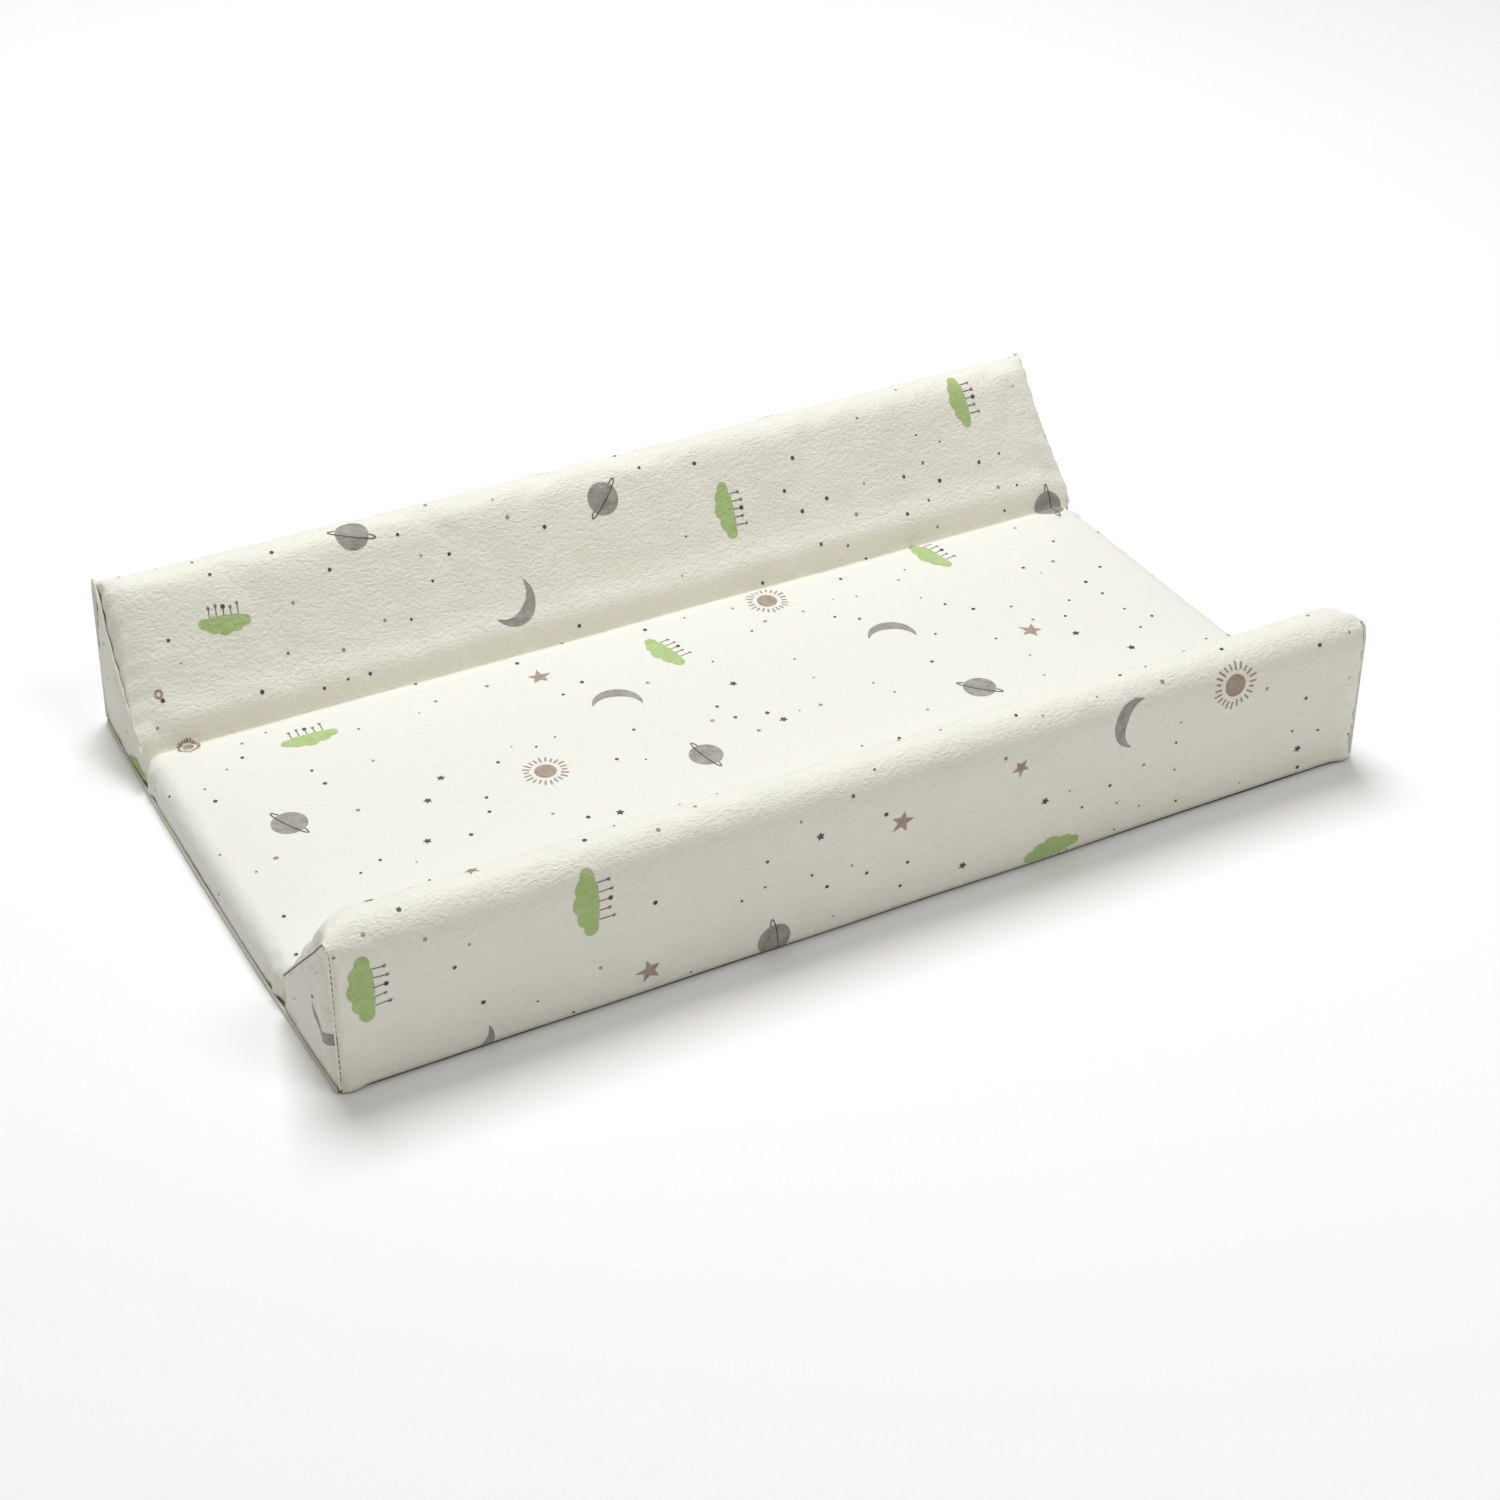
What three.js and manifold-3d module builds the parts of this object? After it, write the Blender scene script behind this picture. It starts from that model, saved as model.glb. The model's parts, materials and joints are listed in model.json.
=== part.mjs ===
// A two-sided changing pad: a stiff base, a flat foam middle and a foam wedge along each long
// side, all in a sewn cover of coated fabric. Millimetres. X runs along the pad, Y across it and
// Z up. The origin is under the middle of the pad, on the surface that it rests on.

import * as THREE from 'three';
import { mergeVertices } from 'three/addons/utils/BufferGeometryUtils.js';
import Module from 'manifold-3d';

// Driving dimensions
const LENGTH = 760; // over the base cover's end lips
const WIDTH = 450; // over the outer walls of the wedges
const RIDGE_HEIGHT = 116; // from the floor to the top of a wedge
const MIDDLE_HEIGHT = 26; // from the floor to the top of the flat middle
const WEDGE_BASE = 92; // from the outer wall to the foot of the inner slope
const RIDGE_RADIUS = 20; // outside radius of the cover over a ridge
const ROLL_RADIUS = 9; // outside radius where the cover rolls down over the middle's ends
const COVER_SHEET = 1; // printed top cover and gussets
const BASE_SHEET = 1; // plain base cover
const BOARD_THICKNESS = 3;
const LIP_STEP = 1.5; // how far the base cover's end lips stand out from the end walls
const HEM_LIFT = 1; // lower edge of the outer walls above the floor
const FIT_GAP = 0.3; // between neighbouring sheets and their filling
const THREAD_DIAMETER = 0.8;
const SEAM_INSET = 2.6; // from the outside of the cover to the middle of a stitch line
const THREAD_PART = 12; // half the opening, in degrees of ridge, between two threads

// Derived sizes
const halfLength = LENGTH / 2;
const halfWidth = WIDTH / 2;
const halfMiddle = halfWidth - WEDGE_BASE;
const boardTop = BASE_SHEET + BOARD_THICKNESS;
const endWall = halfLength - LIP_STEP; // outer face of the end walls and gussets
const sheetDepth = COVER_SHEET + FIT_GAP; // outside of the cover to its filling
const endFoot = boardTop + FIT_GAP; // lower edge of the end walls and gussets
const slope = slopeAngle();
const ridgeCentre = RIDGE_HEIGHT - RIDGE_RADIUS;
const ridgeEnd = Math.PI / 2 - slope; // where the ridge's arc meets the slope

const ARC_STEPS = 12;
const ROLL_STEPS = 5;
const THREAD_SIDES = 6;
const CUT = 5; // how far a cutting solid runs past what it cuts

// The slope touches the ridge's circle, which touches the outer wall and the ridge height.
function slopeAngle() {
  const run = WEDGE_BASE - RIDGE_RADIUS;
  const rise = RIDGE_HEIGHT - MIDDLE_HEIGHT - RIDGE_RADIUS;
  return Math.atan2(rise, run) + Math.asin(RIDGE_RADIUS / Math.hypot(run, rise));
}

// A point on the ridge's arc, in from the outer wall and up from the floor.
function ridgePoint(inset, angle) {
  const radius = RIDGE_RADIUS - inset;
  return new THREE.Vector2(
    RIDGE_RADIUS + radius * Math.cos(angle),
    ridgeCentre + radius * Math.sin(angle),
  );
}

// Where the slope, moved in by inset, meets the top of the middle, moved down by as much.
function slopeFoot(inset) {
  return new THREE.Vector2(WEDGE_BASE - inset * Math.tan(slope / 2), MIDDLE_HEIGHT - inset);
}

// Cross-section of a wedge at a depth below the cover's outside. The distance across is
// measured in from the outer wall, and innerEdge is where the section stops.
function wedgeSection(inset, floor, innerEdge) {
  const foot = slopeFoot(inset);
  const points = [new THREE.Vector2(inset, floor)];
  for (let i = 0; i <= ARC_STEPS; i++) {
    points.push(ridgePoint(inset, Math.PI + ((ridgeEnd - Math.PI) * i) / ARC_STEPS));
  }
  points.push(foot);
  if (innerEdge > foot.x) {
    points.push(new THREE.Vector2(innerEdge, foot.y));
  }
  points.push(new THREE.Vector2(innerEdge, floor));
  return points;
}

// Long section of the middle at a depth below the cover's outside, with both ends rolled.
function middleSection(inset, floor) {
  const reach = endWall - inset;
  const radius = ROLL_RADIUS - inset;
  const top = MIDDLE_HEIGHT - inset;
  const points = [new THREE.Vector2(-reach, floor)];
  for (const side of [-1, 1]) {
    for (let i = 0; i <= ROLL_STEPS; i++) {
      const turn = (Math.PI / 2) * (i / ROLL_STEPS);
      const angle = side < 0 ? Math.PI - turn : Math.PI / 2 - turn;
      points.push(new THREE.Vector2(
        side * (reach - radius) + radius * Math.cos(angle),
        top - radius + radius * Math.sin(angle),
      ));
    }
  }
  points.push(new THREE.Vector2(reach, floor));
  return points;
}

function extrude(points, depth) {
  return new THREE.ExtrudeGeometry(new THREE.Shape(points), { depth, bevelEnabled: false });
}

// Extrudes a section of one wedge along X. Side -1 is the front, at -Y, and 1 is the rear.
function alongLength(section, fromX, toX, side) {
  const points = section.map((p) => new THREE.Vector2(side * (halfWidth - p.x), p.y));
  const geometry = extrude(points, toX - fromX);
  const acrossToY = new THREE.Matrix4().makeBasis(
    new THREE.Vector3(0, 1, 0),
    new THREE.Vector3(0, 0, 1),
    new THREE.Vector3(1, 0, 0),
  );
  return geometry.applyMatrix4(acrossToY.setPosition(fromX, 0, 0));
}

// Extrudes a long section across the pad, evenly about the middle.
function acrossWidth(section, halfSpan) {
  const geometry = extrude(section, 2 * halfSpan);
  const upright = new THREE.Matrix4().makeBasis(
    new THREE.Vector3(1, 0, 0),
    new THREE.Vector3(0, 0, 1),
    new THREE.Vector3(0, -1, 0),
  );
  return geometry.applyMatrix4(upright.setPosition(0, halfSpan, 0));
}

function boxBetween(halfX, halfY, lowZ, highZ) {
  const geometry = new THREE.BoxGeometry(2 * halfX, 2 * halfY, highZ - lowZ);
  return geometry.translate(0, 0, (lowZ + highZ) / 2);
}

const wasm = await Module();
wasm.setup();

function toSolid(geometry) {
  const bare = geometry.clone();
  bare.deleteAttribute('normal');
  bare.deleteAttribute('uv');
  const merged = mergeVertices(bare, 1e-4);
  return new wasm.Manifold(new wasm.Mesh({
    numProp: 3,
    vertProperties: new Float32Array(merged.attributes.position.array),
    triVerts: new Uint32Array(merged.index.array),
  }));
}

function toGeometry(solid) {
  const mesh = solid.getMesh();
  const geometry = new THREE.BufferGeometry();
  geometry.setAttribute('position', new THREE.BufferAttribute(mesh.vertProperties, 3));
  geometry.setIndex(new THREE.BufferAttribute(mesh.triVerts, 1));
  geometry.computeVertexNormals();
  return geometry;
}

const pad = new THREE.Group();
pad.name = 'changing_pad';

function addPart(name, geometry, color, roughness) {
  const material = new THREE.MeshStandardMaterial({ color, roughness, metalness: 0 });
  material.name = `${name}_material`;
  const mesh = new THREE.Mesh(geometry, material);
  mesh.name = name;
  pad.add(mesh);
}

const IVORY = 0xf0eee4;
const PLAIN_WHITE = 0xeceae2;
const FOAM = 0xf3ecd2;
const HARDBOARD = 0x8a6440;
const THREAD = 0x8f8a7d;

// The base cover is a shallow tray of plain sheet, turned up round the board.
function baseCover() {
  const reachY = halfWidth - sheetDepth;
  const tray = toSolid(boxBetween(halfLength, reachY, 0, boardTop));
  const pocket = toSolid(boxBetween(
    halfLength - BASE_SHEET,
    reachY - BASE_SHEET,
    BASE_SHEET,
    boardTop + CUT,
  ));
  return toGeometry(tray.subtract(pocket));
}

function baseBoard() {
  const halfX = halfLength - BASE_SHEET - FIT_GAP;
  const halfY = halfWidth - sheetDepth - BASE_SHEET - FIT_GAP;
  return boxBetween(halfX, halfY, BASE_SHEET, boardTop);
}

function middleFoam() {
  return acrossWidth(middleSection(sheetDepth, boardTop), halfMiddle);
}

function wedgeFoam(side) {
  const section = wedgeSection(sheetDepth, boardTop, WEDGE_BASE - FIT_GAP);
  const halfSpan = endWall - sheetDepth;
  return alongLength(section, -halfSpan, halfSpan, side);
}

// The printed cover is one sheet: up the outer wall, over the ridge, down the slope, across the
// middle and the same again, rolled down over the middle's two ends.
function topCover() {
  const middle = toSolid(acrossWidth(middleSection(0, endFoot), halfMiddle));
  const hollow = toSolid(acrossWidth(middleSection(COVER_SHEET, -CUT), halfMiddle + CUT));
  let cover = middle.subtract(hollow);
  for (const side of [-1, 1]) {
    const outside = wedgeSection(0, HEM_LIFT, WEDGE_BASE);
    const inside = wedgeSection(COVER_SHEET, -CUT, WEDGE_BASE + CUT);
    const wedge = toSolid(alongLength(outside, -endWall, endWall, side));
    const space = toSolid(alongLength(inside, -endWall - CUT, endWall + CUT, side));
    cover = cover.add(wedge.subtract(space));
  }
  return toGeometry(cover);
}

// A gusset closes the open end of a wedge. End -1 is the left, at -X, and 1 is the right.
function gusset(side, end) {
  const section = wedgeSection(sheetDepth, endFoot, WEDGE_BASE - FIT_GAP);
  const outer = end * endWall;
  const inner = outer - end * COVER_SHEET;
  return alongLength(section, Math.min(inner, outer), Math.max(inner, outer), side);
}

// A sewing thread lies on the gusset just inside its edge. Each seam runs along a straight edge
// and round its share of the ridge.
function seamThread(side, end, straightEnd, fromAngle, toAngle) {
  const arc = [];
  const arcPoints = 4;
  for (let i = 0; i <= arcPoints; i++) {
    arc.push(ridgePoint(SEAM_INSET, fromAngle + ((toAngle - fromAngle) * i) / arcPoints));
  }
  const middle = straightEnd.clone().add(arc[0]).multiplyScalar(0.5);
  const x = end * (endWall + FIT_GAP + THREAD_DIAMETER / 2);
  const route = [straightEnd, middle, ...arc].map(
    (p) => new THREE.Vector3(x, side * (halfWidth - p.x), p.y),
  );
  const circle = new THREE.Shape().absarc(0, 0, THREAD_DIAMETER / 2, 0, 2 * Math.PI, false);
  return new THREE.ExtrudeGeometry(circle, {
    steps: 24,
    curveSegments: THREAD_SIDES,
    bevelEnabled: false,
    extrudePath: new THREE.CatmullRomCurve3(route),
  });
}

addPart('base_cover', baseCover(), PLAIN_WHITE, 0.6);
addPart('base_board', baseBoard(), HARDBOARD, 0.8);
addPart('middle_foam', middleFoam(), FOAM, 0.95);
addPart('top_cover', topCover(), IVORY, 0.45);

const partAngle = THREE.MathUtils.degToRad(THREAD_PART);
const ridgeSplit = (Math.PI + ridgeEnd) / 2;
const slopeThreadEnd = slopeFoot(SEAM_INSET);
const cornerThreadEnd = new THREE.Vector2(SEAM_INSET, endFoot + THREAD_DIAMETER);

for (const [sideName, side] of [['front', -1], ['rear', 1]]) {
  addPart(`${sideName}_wedge_foam`, wedgeFoam(side), FOAM, 0.95);
  for (const [endName, end] of [['left', -1], ['right', 1]]) {
    const place = `${sideName}_${endName}`;
    addPart(`${place}_gusset`, gusset(side, end), IVORY, 0.45);
    addPart(
      `${place}_slope_thread`,
      seamThread(side, end, slopeThreadEnd, ridgeEnd, ridgeSplit - partAngle),
      THREAD,
      0.7,
    );
    addPart(
      `${place}_corner_thread`,
      seamThread(side, end, cornerThreadEnd, Math.PI, ridgeSplit + partAngle),
      THREAD,
      0.7,
    );
  }
}

export default pad;
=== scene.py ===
"""The looks of a two-sided changing pad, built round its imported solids."""

import json
import math
import random

import bmesh
import bpy
from bpy.props import FloatProperty, FloatVectorProperty, IntProperty, PointerProperty
from bpy.types import Operator, Panel, PropertyGroup
from mathutils import Matrix, Vector, noise
from mathutils.bvhtree import BVHTree
from mathutils.geometry import barycentric_transform

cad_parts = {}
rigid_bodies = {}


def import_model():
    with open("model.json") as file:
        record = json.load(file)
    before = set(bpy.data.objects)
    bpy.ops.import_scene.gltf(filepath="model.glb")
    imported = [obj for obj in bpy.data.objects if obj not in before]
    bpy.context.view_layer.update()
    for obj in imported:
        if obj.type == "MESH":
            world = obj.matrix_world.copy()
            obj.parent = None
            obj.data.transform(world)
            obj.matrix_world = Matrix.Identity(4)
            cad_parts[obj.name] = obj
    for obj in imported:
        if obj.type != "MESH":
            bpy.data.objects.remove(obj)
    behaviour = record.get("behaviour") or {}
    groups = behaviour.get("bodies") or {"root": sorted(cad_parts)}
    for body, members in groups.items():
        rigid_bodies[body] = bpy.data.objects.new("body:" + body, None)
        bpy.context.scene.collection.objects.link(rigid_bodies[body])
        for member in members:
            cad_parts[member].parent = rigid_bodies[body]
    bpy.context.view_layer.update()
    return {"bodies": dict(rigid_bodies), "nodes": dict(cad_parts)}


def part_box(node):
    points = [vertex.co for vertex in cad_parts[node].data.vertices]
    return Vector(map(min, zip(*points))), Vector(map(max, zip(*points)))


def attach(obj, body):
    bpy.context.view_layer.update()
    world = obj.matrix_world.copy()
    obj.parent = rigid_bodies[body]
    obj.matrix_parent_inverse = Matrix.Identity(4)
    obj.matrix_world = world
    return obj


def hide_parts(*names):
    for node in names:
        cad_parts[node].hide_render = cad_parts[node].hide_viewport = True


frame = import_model()

bl_info = {
    "name": "Changing Pad",
    "version": (1, 0, 0),
    "blender": (4, 5, 0),
    "location": "3D View > Sidebar > Changing Pad",
    "description": "Builds the sewn, printed cover and the filling of a changing pad",
    "category": "Object",
}

BODY = next(iter(frame["bodies"]))
COVER_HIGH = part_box("top_cover")[1]
BASE_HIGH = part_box("base_cover")[1]
MIDDLE_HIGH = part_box("middle_foam")[1]
GUSSET_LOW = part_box("front_left_gusset")[0]
SHEET_UV = "sheet"
BAKE_UV = "OFBake"
SIDES = (("front", -1), ("rear", 1))
ENDS = (("left", -1), ("right", 1))

# The end seam of a wedge: along the sheet, in from the outer wall and up from the floor.
END_SEAM = (
    (0.0000, 0.0000, 0.0000),
    (0.1020, 0.0000, 0.1020),
    (0.1105, 0.0020, 0.1105),
    (0.1165, 0.0065, 0.1135),
    (0.1250, 0.0127, 0.1085),
    (0.1530, 0.0314, 0.0890),
    (0.2010, 0.0645, 0.0555),
    (0.2385, 0.0900, 0.0295),
    (0.2453, 0.0920, 0.0260),
)

# How far across the flat sheet its middle line lies, in metres.
MIDDLE_LINE = 0.378

# By end: how deep a seam's folded edge lies behind the end wall.
SEAM_EDGE_DEPTH = {-1: 0.0002, 1: 0.0014}

# By side and end: how far a seam's tip is drawn in along the pad, and lifted.
HORNS = {(1, -1): (0.0030, 0.0020), (1, 1): (-0.0030, 0.0010)}


# Sizes and colours


def length(name, description, default):
    """A distance that the sidebar shows in the scene's units."""
    return FloatProperty(
        name=name, description=description, default=default, precision=4, unit="LENGTH"
    )


def colour(name, description, default):
    """A linear colour."""
    return FloatVectorProperty(
        name=name,
        description=description,
        default=default,
        subtype="COLOR",
        size=3,
        min=0,
        max=1,
    )


class PadSizes(PropertyGroup):
    end_wall: length("End wall", "Half the length over the end seams", COVER_HIGH.x)
    half_width: length("Half width", "Half the width over the walls", COVER_HIGH.y)
    ridge_height: length("Ridge height", "Floor to the top of a wedge", 0.116)
    ridge_radius: length("Ridge radius", "Rounding of the cover over a ridge", 0.020)
    wedge_base: length("Wedge base", "Outer wall to the foot of the slope", 0.092)
    middle_height: length("Middle height", "Floor to the top of the middle", 0.026)
    roll_radius: length("Roll radius", "Rounding over the middle's ends", 0.013)
    left_taper: length("Left taper", "Length over which a wedge's left end fills out", 0.029)
    right_taper: length("Right taper", "The same at the right end", 0.022)
    end_bow: length("End bow", "How far the end edges bow outwards", 0.0035)
    right_flare: length("Right flare", "How far the right end's foot stands out", 0.0035)
    rear_rise: length("Rear rise", "How much fuller the rear wedge stands", 0.0065)
    crown: length("Crown", "Rise of the middle between its edges", 0.0015)
    sheet: length("Sheet", "Thickness of the coated fabric", 0.0008)
    slack: FloatProperty(
        name="Slack",
        description="How much larger the cover is cut than its filling",
        default=0.006,
        subtype="FACTOR",
        min=0,
        max=0.05,
    )


class SeamSizes(PropertyGroup):
    front_welt: length("Front welt", "Radius of a front seam's folded edge", 0.0006)
    rear_welt: length("Rear welt", "Radius of a rear seam's folded edge", 0.0012)
    inset: length("Stitch inset", "From the folded edge to the row of stitches", 0.0010)
    stitch: length("Stitch", "Length of one stitch", 0.0029)
    pitch: length("Pitch", "From one stitch to the next", 0.0046)
    front_thread: length("Front thread", "Thickness of the front seams' thread", 0.0012)
    rear_thread: length("Rear thread", "Thickness of the rear seams' thread", 0.0005)


class PrintSizes(PropertyGroup):
    film: length("Film", "Height of the ink over the sheet", 0.00014)
    cloud: length("Cloud", "Length of a cloud", 0.048)
    moon: length("Moon", "Radius of a moon's outer edge", 0.0180)
    planet: length("Planet", "Radius of a planet", 0.0120)
    sun: length("Sun", "Radius over a sun's rays", 0.0185)
    star: length("Star", "Radius of a star", 0.0092)
    dot: length("Dot", "Radius of a dot", 0.0014)
    dots: IntProperty(
        name="Dots", description="Dots tried over the sheet", default=620, min=0
    )


class PadColours(PropertyGroup):
    ivory: colour("Ivory", "Coated fabric of the cover", (0.875, 0.860, 0.772))
    underside: colour("Underside", "Plain base fabric", (0.80, 0.775, 0.69))
    green: colour("Green ink", "Clouds", (0.315, 0.48, 0.115))
    grey: colour("Grey ink", "Moons and planets", (0.190, 0.175, 0.160))
    taupe: colour("Taupe ink", "Suns and stars", (0.28, 0.180, 0.120))
    charcoal: colour("Charcoal ink", "Dots and fine lines", (0.022, 0.020, 0.020))
    thread: colour("Thread", "Sewing thread", (0.16, 0.15, 0.13))
    foam: colour("Foam", "Filling", (0.80, 0.68, 0.36))
    board: colour("Board", "Stiffening board", (0.27, 0.14, 0.06))
    floor: colour("Floor", "Floor", (0.95, 0.95, 0.955))


# Materials


class Wire:
    """A node's output socket, on which sums can be written."""

    def __init__(self, net, socket):
        self.net = net
        self.socket = socket

    def sum(self, operation, first, second=None):
        values = {0: first} if second is None else {0: first, 1: second}
        return self.net.node("ShaderNodeMath", {"operation": operation}, values)

    def __add__(self, other):
        return self.sum("ADD", self, other)

    def __radd__(self, other):
        return self.sum("ADD", other, self)

    def __sub__(self, other):
        return self.sum("SUBTRACT", self, other)

    def __mul__(self, other):
        return self.sum("MULTIPLY", self, other)

    def __abs__(self):
        return self.sum("ABSOLUTE", self)


class Finish:
    """A material and the one way in which nodes are added to it."""

    def __init__(self, name):
        self.material = bpy.data.materials.new(name)
        self.material.use_nodes = True
        self.tree = self.material.node_tree
        self.shader = self.tree.nodes["Principled BSDF"]

    def node(self, kind, settings=None, values=None, output=0):
        """Adds a node: its settings first, then its sockets' values or links."""
        made = self.tree.nodes.new(kind)
        for name, value in (settings or {}).items():
            if name == "stops":
                for i, (place, level) in enumerate(value):
                    stops = made.color_ramp.elements
                    stop = stops[i] if i < len(stops) else stops.new(place)
                    stop.position = place
                    stop.color = (level, level, level, 1)
            else:
                setattr(made, name, value)
        self.fill(made, values or {})
        return Wire(self, made.outputs[output])

    def fill(self, made, values):
        for name, value in values.items():
            if isinstance(value, Wire):
                self.tree.links.new(value.socket, made.inputs[name])
            else:
                made.inputs[name].default_value = value

    def flat_sheet(self):
        """Places on the flat sheet, in metres."""
        return self.node("ShaderNodeUVMap", {"uv_map": SHEET_UV})

    def solid(self):
        """Places in the pad, in metres."""
        return self.node("ShaderNodeTexCoord", output="Object")

    def across(self, places):
        return self.node("ShaderNodeSeparateXYZ", None, {0: places}, "Y")

    def from_middle(self, places):
        """Distance from the sheet's middle line, scaled to run from 0 to about 1."""
        return abs(self.across(places) - MIDDLE_LINE) * 2.5

    def stretched(self, places, scale, turn=0.0):
        return self.node(
            "ShaderNodeMapping",
            None,
            {"Vector": places, "Scale": scale, "Rotation": (0, 0, turn)},
        )

    def noise(self, places, scale, detail=3.0, roughness=0.55):
        values = {
            "Vector": places,
            "Scale": scale,
            "Detail": detail,
            "Roughness": roughness,
        }
        return self.node("ShaderNodeTexNoise", None, values)

    def cells(self, places, scale, feature="F1", randomness=1.0):
        values = {"Vector": places, "Scale": scale, "Randomness": randomness}
        settings = {"feature": feature}
        return self.node("ShaderNodeTexVoronoi", settings, values, "Distance")

    def ramp(self, level, stops):
        return self.node("ShaderNodeValToRGB", {"stops": stops}, {"Fac": level})

    def blend(self, factor, first, second, blend_type="MIX"):
        """Mixes two colours."""
        settings = {"data_type": "RGBA", "blend_type": blend_type}
        values = {0: factor, 6: opaque(first), 7: opaque(second)}
        return self.node("ShaderNodeMix", settings, values, 2)

    def bump(self, height, depth, strength=1.0, under=None):
        values = {"Height": height, "Distance": depth, "Strength": strength}
        if under is not None:
            values["Normal"] = under
        return self.node("ShaderNodeBump", None, values)

    def shade(self, **values):
        """Sets the shader's sockets; an underscore stands for a space."""
        named = {name.replace("_", " "): value for name, value in values.items()}
        self.fill(self.shader, named)
        return self.material


def opaque(value):
    """A colour with its alpha, or a link as it is."""
    return value if isinstance(value, Wire) else (*value[:3], 1.0)


def tinted(value, factor):
    return tuple(min(1.0, channel * factor) for channel in value[:3])


def tinted_by(value, factors):
    return tuple(channel * factor for channel, factor in zip(value, factors))


def leather_grain(finish, places, strength=1.0):
    """The pebbled grain, fine wrinkles and soft unevenness of the coated fabric.

    The wrinkles run along the pad. They are deepest on the slopes, where the sheet is
    pulled over the foam, and almost gone on the middle, where it lies flat.
    """
    wander = finish.node(
        "ShaderNodeVectorMath",
        {"operation": "SCALE"},
        {
            0: finish.node(
                "ShaderNodeTexNoise", None, {"Vector": places, "Scale": 90.0}, "Color"
            ),
            "Scale": 0.008,
        },
    )
    bent = finish.node("ShaderNodeVectorMath", {"operation": "ADD"}, {0: places, 1: wander})
    pebbles = finish.cells(finish.stretched(bent, (0.6, 1.0, 1.0), 0.2), 500.0, "SMOOTH_F1")
    creases = finish.noise(finish.stretched(bent, (0.5, 1.0, 1.0), 0.1), 520.0, 3.0, 0.6)
    folds = finish.noise(finish.stretched(bent, (0.34, 1.0, 1.0), -0.08), 130.0, 2.0, 0.5)
    wedges = finish.ramp(finish.from_middle(places), ((0.300, 0.0), (0.345, 1.0)))
    drawn = 0.28 + wedges * 0.72
    height = (creases - pebbles * 0.9) * (0.22 + wedges * 0.78) + folds * 0.25 * drawn
    grain = finish.bump(height, 0.0007, 0.85 * strength)
    return grain, pebbles, creases


def ivory_sheet(colours):
    finish = Finish("ivory_coated_fabric")
    places = finish.flat_sheet()
    normal, pebbles, creases = leather_grain(finish, places)
    cloudy = finish.ramp(finish.noise(places, 9.0, 4.0), ((0.35, 0.0), (0.7, 1.0)))
    wedges = finish.blend(cloudy, colours.ivory, tinted(colours.ivory, 0.965))
    hollows = finish.ramp(creases, ((0.36, 1.0), (0.56, 0.0)))
    from_middle = finish.from_middle(places)
    # Painted shade: the middle, which takes the most light from above, is painted darker and
    # cooler than the wedges.
    lying = finish.ramp(from_middle, ((0.300, 1.0), (0.335, 0.0)))
    base = finish.blend(lying, wedges, tinted_by(colours.ivory, (0.915, 0.930, 0.965)))
    # Painted shade: a warm, darker band along the foot of each slope, where it meets the
    # middle.
    painted_crease_shade = finish.ramp(from_middle, ((0.318, 0.0), (0.334, 1.0), (0.380, 0.0)))
    toned = finish.blend(painted_crease_shade * 0.55, base, tinted_by(colours.ivory, (0.97, 0.95, 0.86)))
    # The grain's hollows are darkened a little.
    darkened_hollows = finish.blend(hollows * 0.10, toned, (0.66, 0.63, 0.54))
    rough = 0.50 + pebbles * 0.12 + creases * 0.08
    return finish.shade(
        Base_Color=darkened_hollows,
        Roughness=rough,
        Normal=normal,
        Specular_IOR_Level=0.35,
        Sheen_Weight=0.05,
    )


def ink(colours, name, tone, mottle):
    """Printed ink, mottled as if sponged on, with the sheet's grain under it."""
    finish = Finish(name)
    places = finish.flat_sheet()
    normal, pebbles, _ = leather_grain(finish, places, 0.9)
    speckle = finish.ramp(finish.noise(places, 900.0, 3.0, 0.7), ((0.38, 0.0), (0.62, 1.0)))
    washes = finish.ramp(finish.noise(places, 130.0, 3.0), ((0.35, 0.0), (0.68, 1.0)))
    paler = tuple(a + (b - a) * 0.35 for a, b in zip(tone, colours.ivory))
    washed = finish.blend(washes * mottle, tone, paler)
    worn = finish.blend(speckle * mottle * 0.8, washed, tinted(paler, 1.08))
    return finish.shade(
        Base_Color=worn,
        Roughness=0.46 + pebbles * 0.12,
        Normal=normal,
        Specular_IOR_Level=0.35,
    )


def base_fabric(colours):
    finish = Finish("plain_base_fabric")
    places = finish.solid()
    warp = abs(finish.node("ShaderNodeTexWave", {"bands_direction": "X"},
                           {"Vector": places, "Scale": 420.0}, "Fac"))
    weft = abs(finish.node("ShaderNodeTexWave", {"bands_direction": "Y"},
                           {"Vector": places, "Scale": 420.0}, "Fac"))
    patches = finish.noise(places, 40.0, 4.0)
    dust = finish.ramp(patches, ((0.4, 0.0), (0.75, 1.0)))
    body = finish.blend(dust, colours.underside, tinted(colours.underside, 0.88))
    shaded = finish.blend(warp * weft * 0.2, body, tinted(colours.underside, 1.12))
    normal = finish.bump(warp * weft + finish.noise(places, 900.0), 0.0003, 0.6)
    # Painted shade: a dark band along the base's long sides, darkening the gap under the
    # walls.
    painted_gap_shade = finish.ramp(abs(finish.across(places)) * 4.0, ((0.884, 0.0), (0.889, 1.0)))
    return finish.shade(
        Base_Color=finish.blend(painted_gap_shade, shaded, tinted(colours.thread, 0.5)),
        Roughness=0.62 + patches * 0.15,
        Normal=normal,
        Sheen_Weight=0.1,
    )


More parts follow.
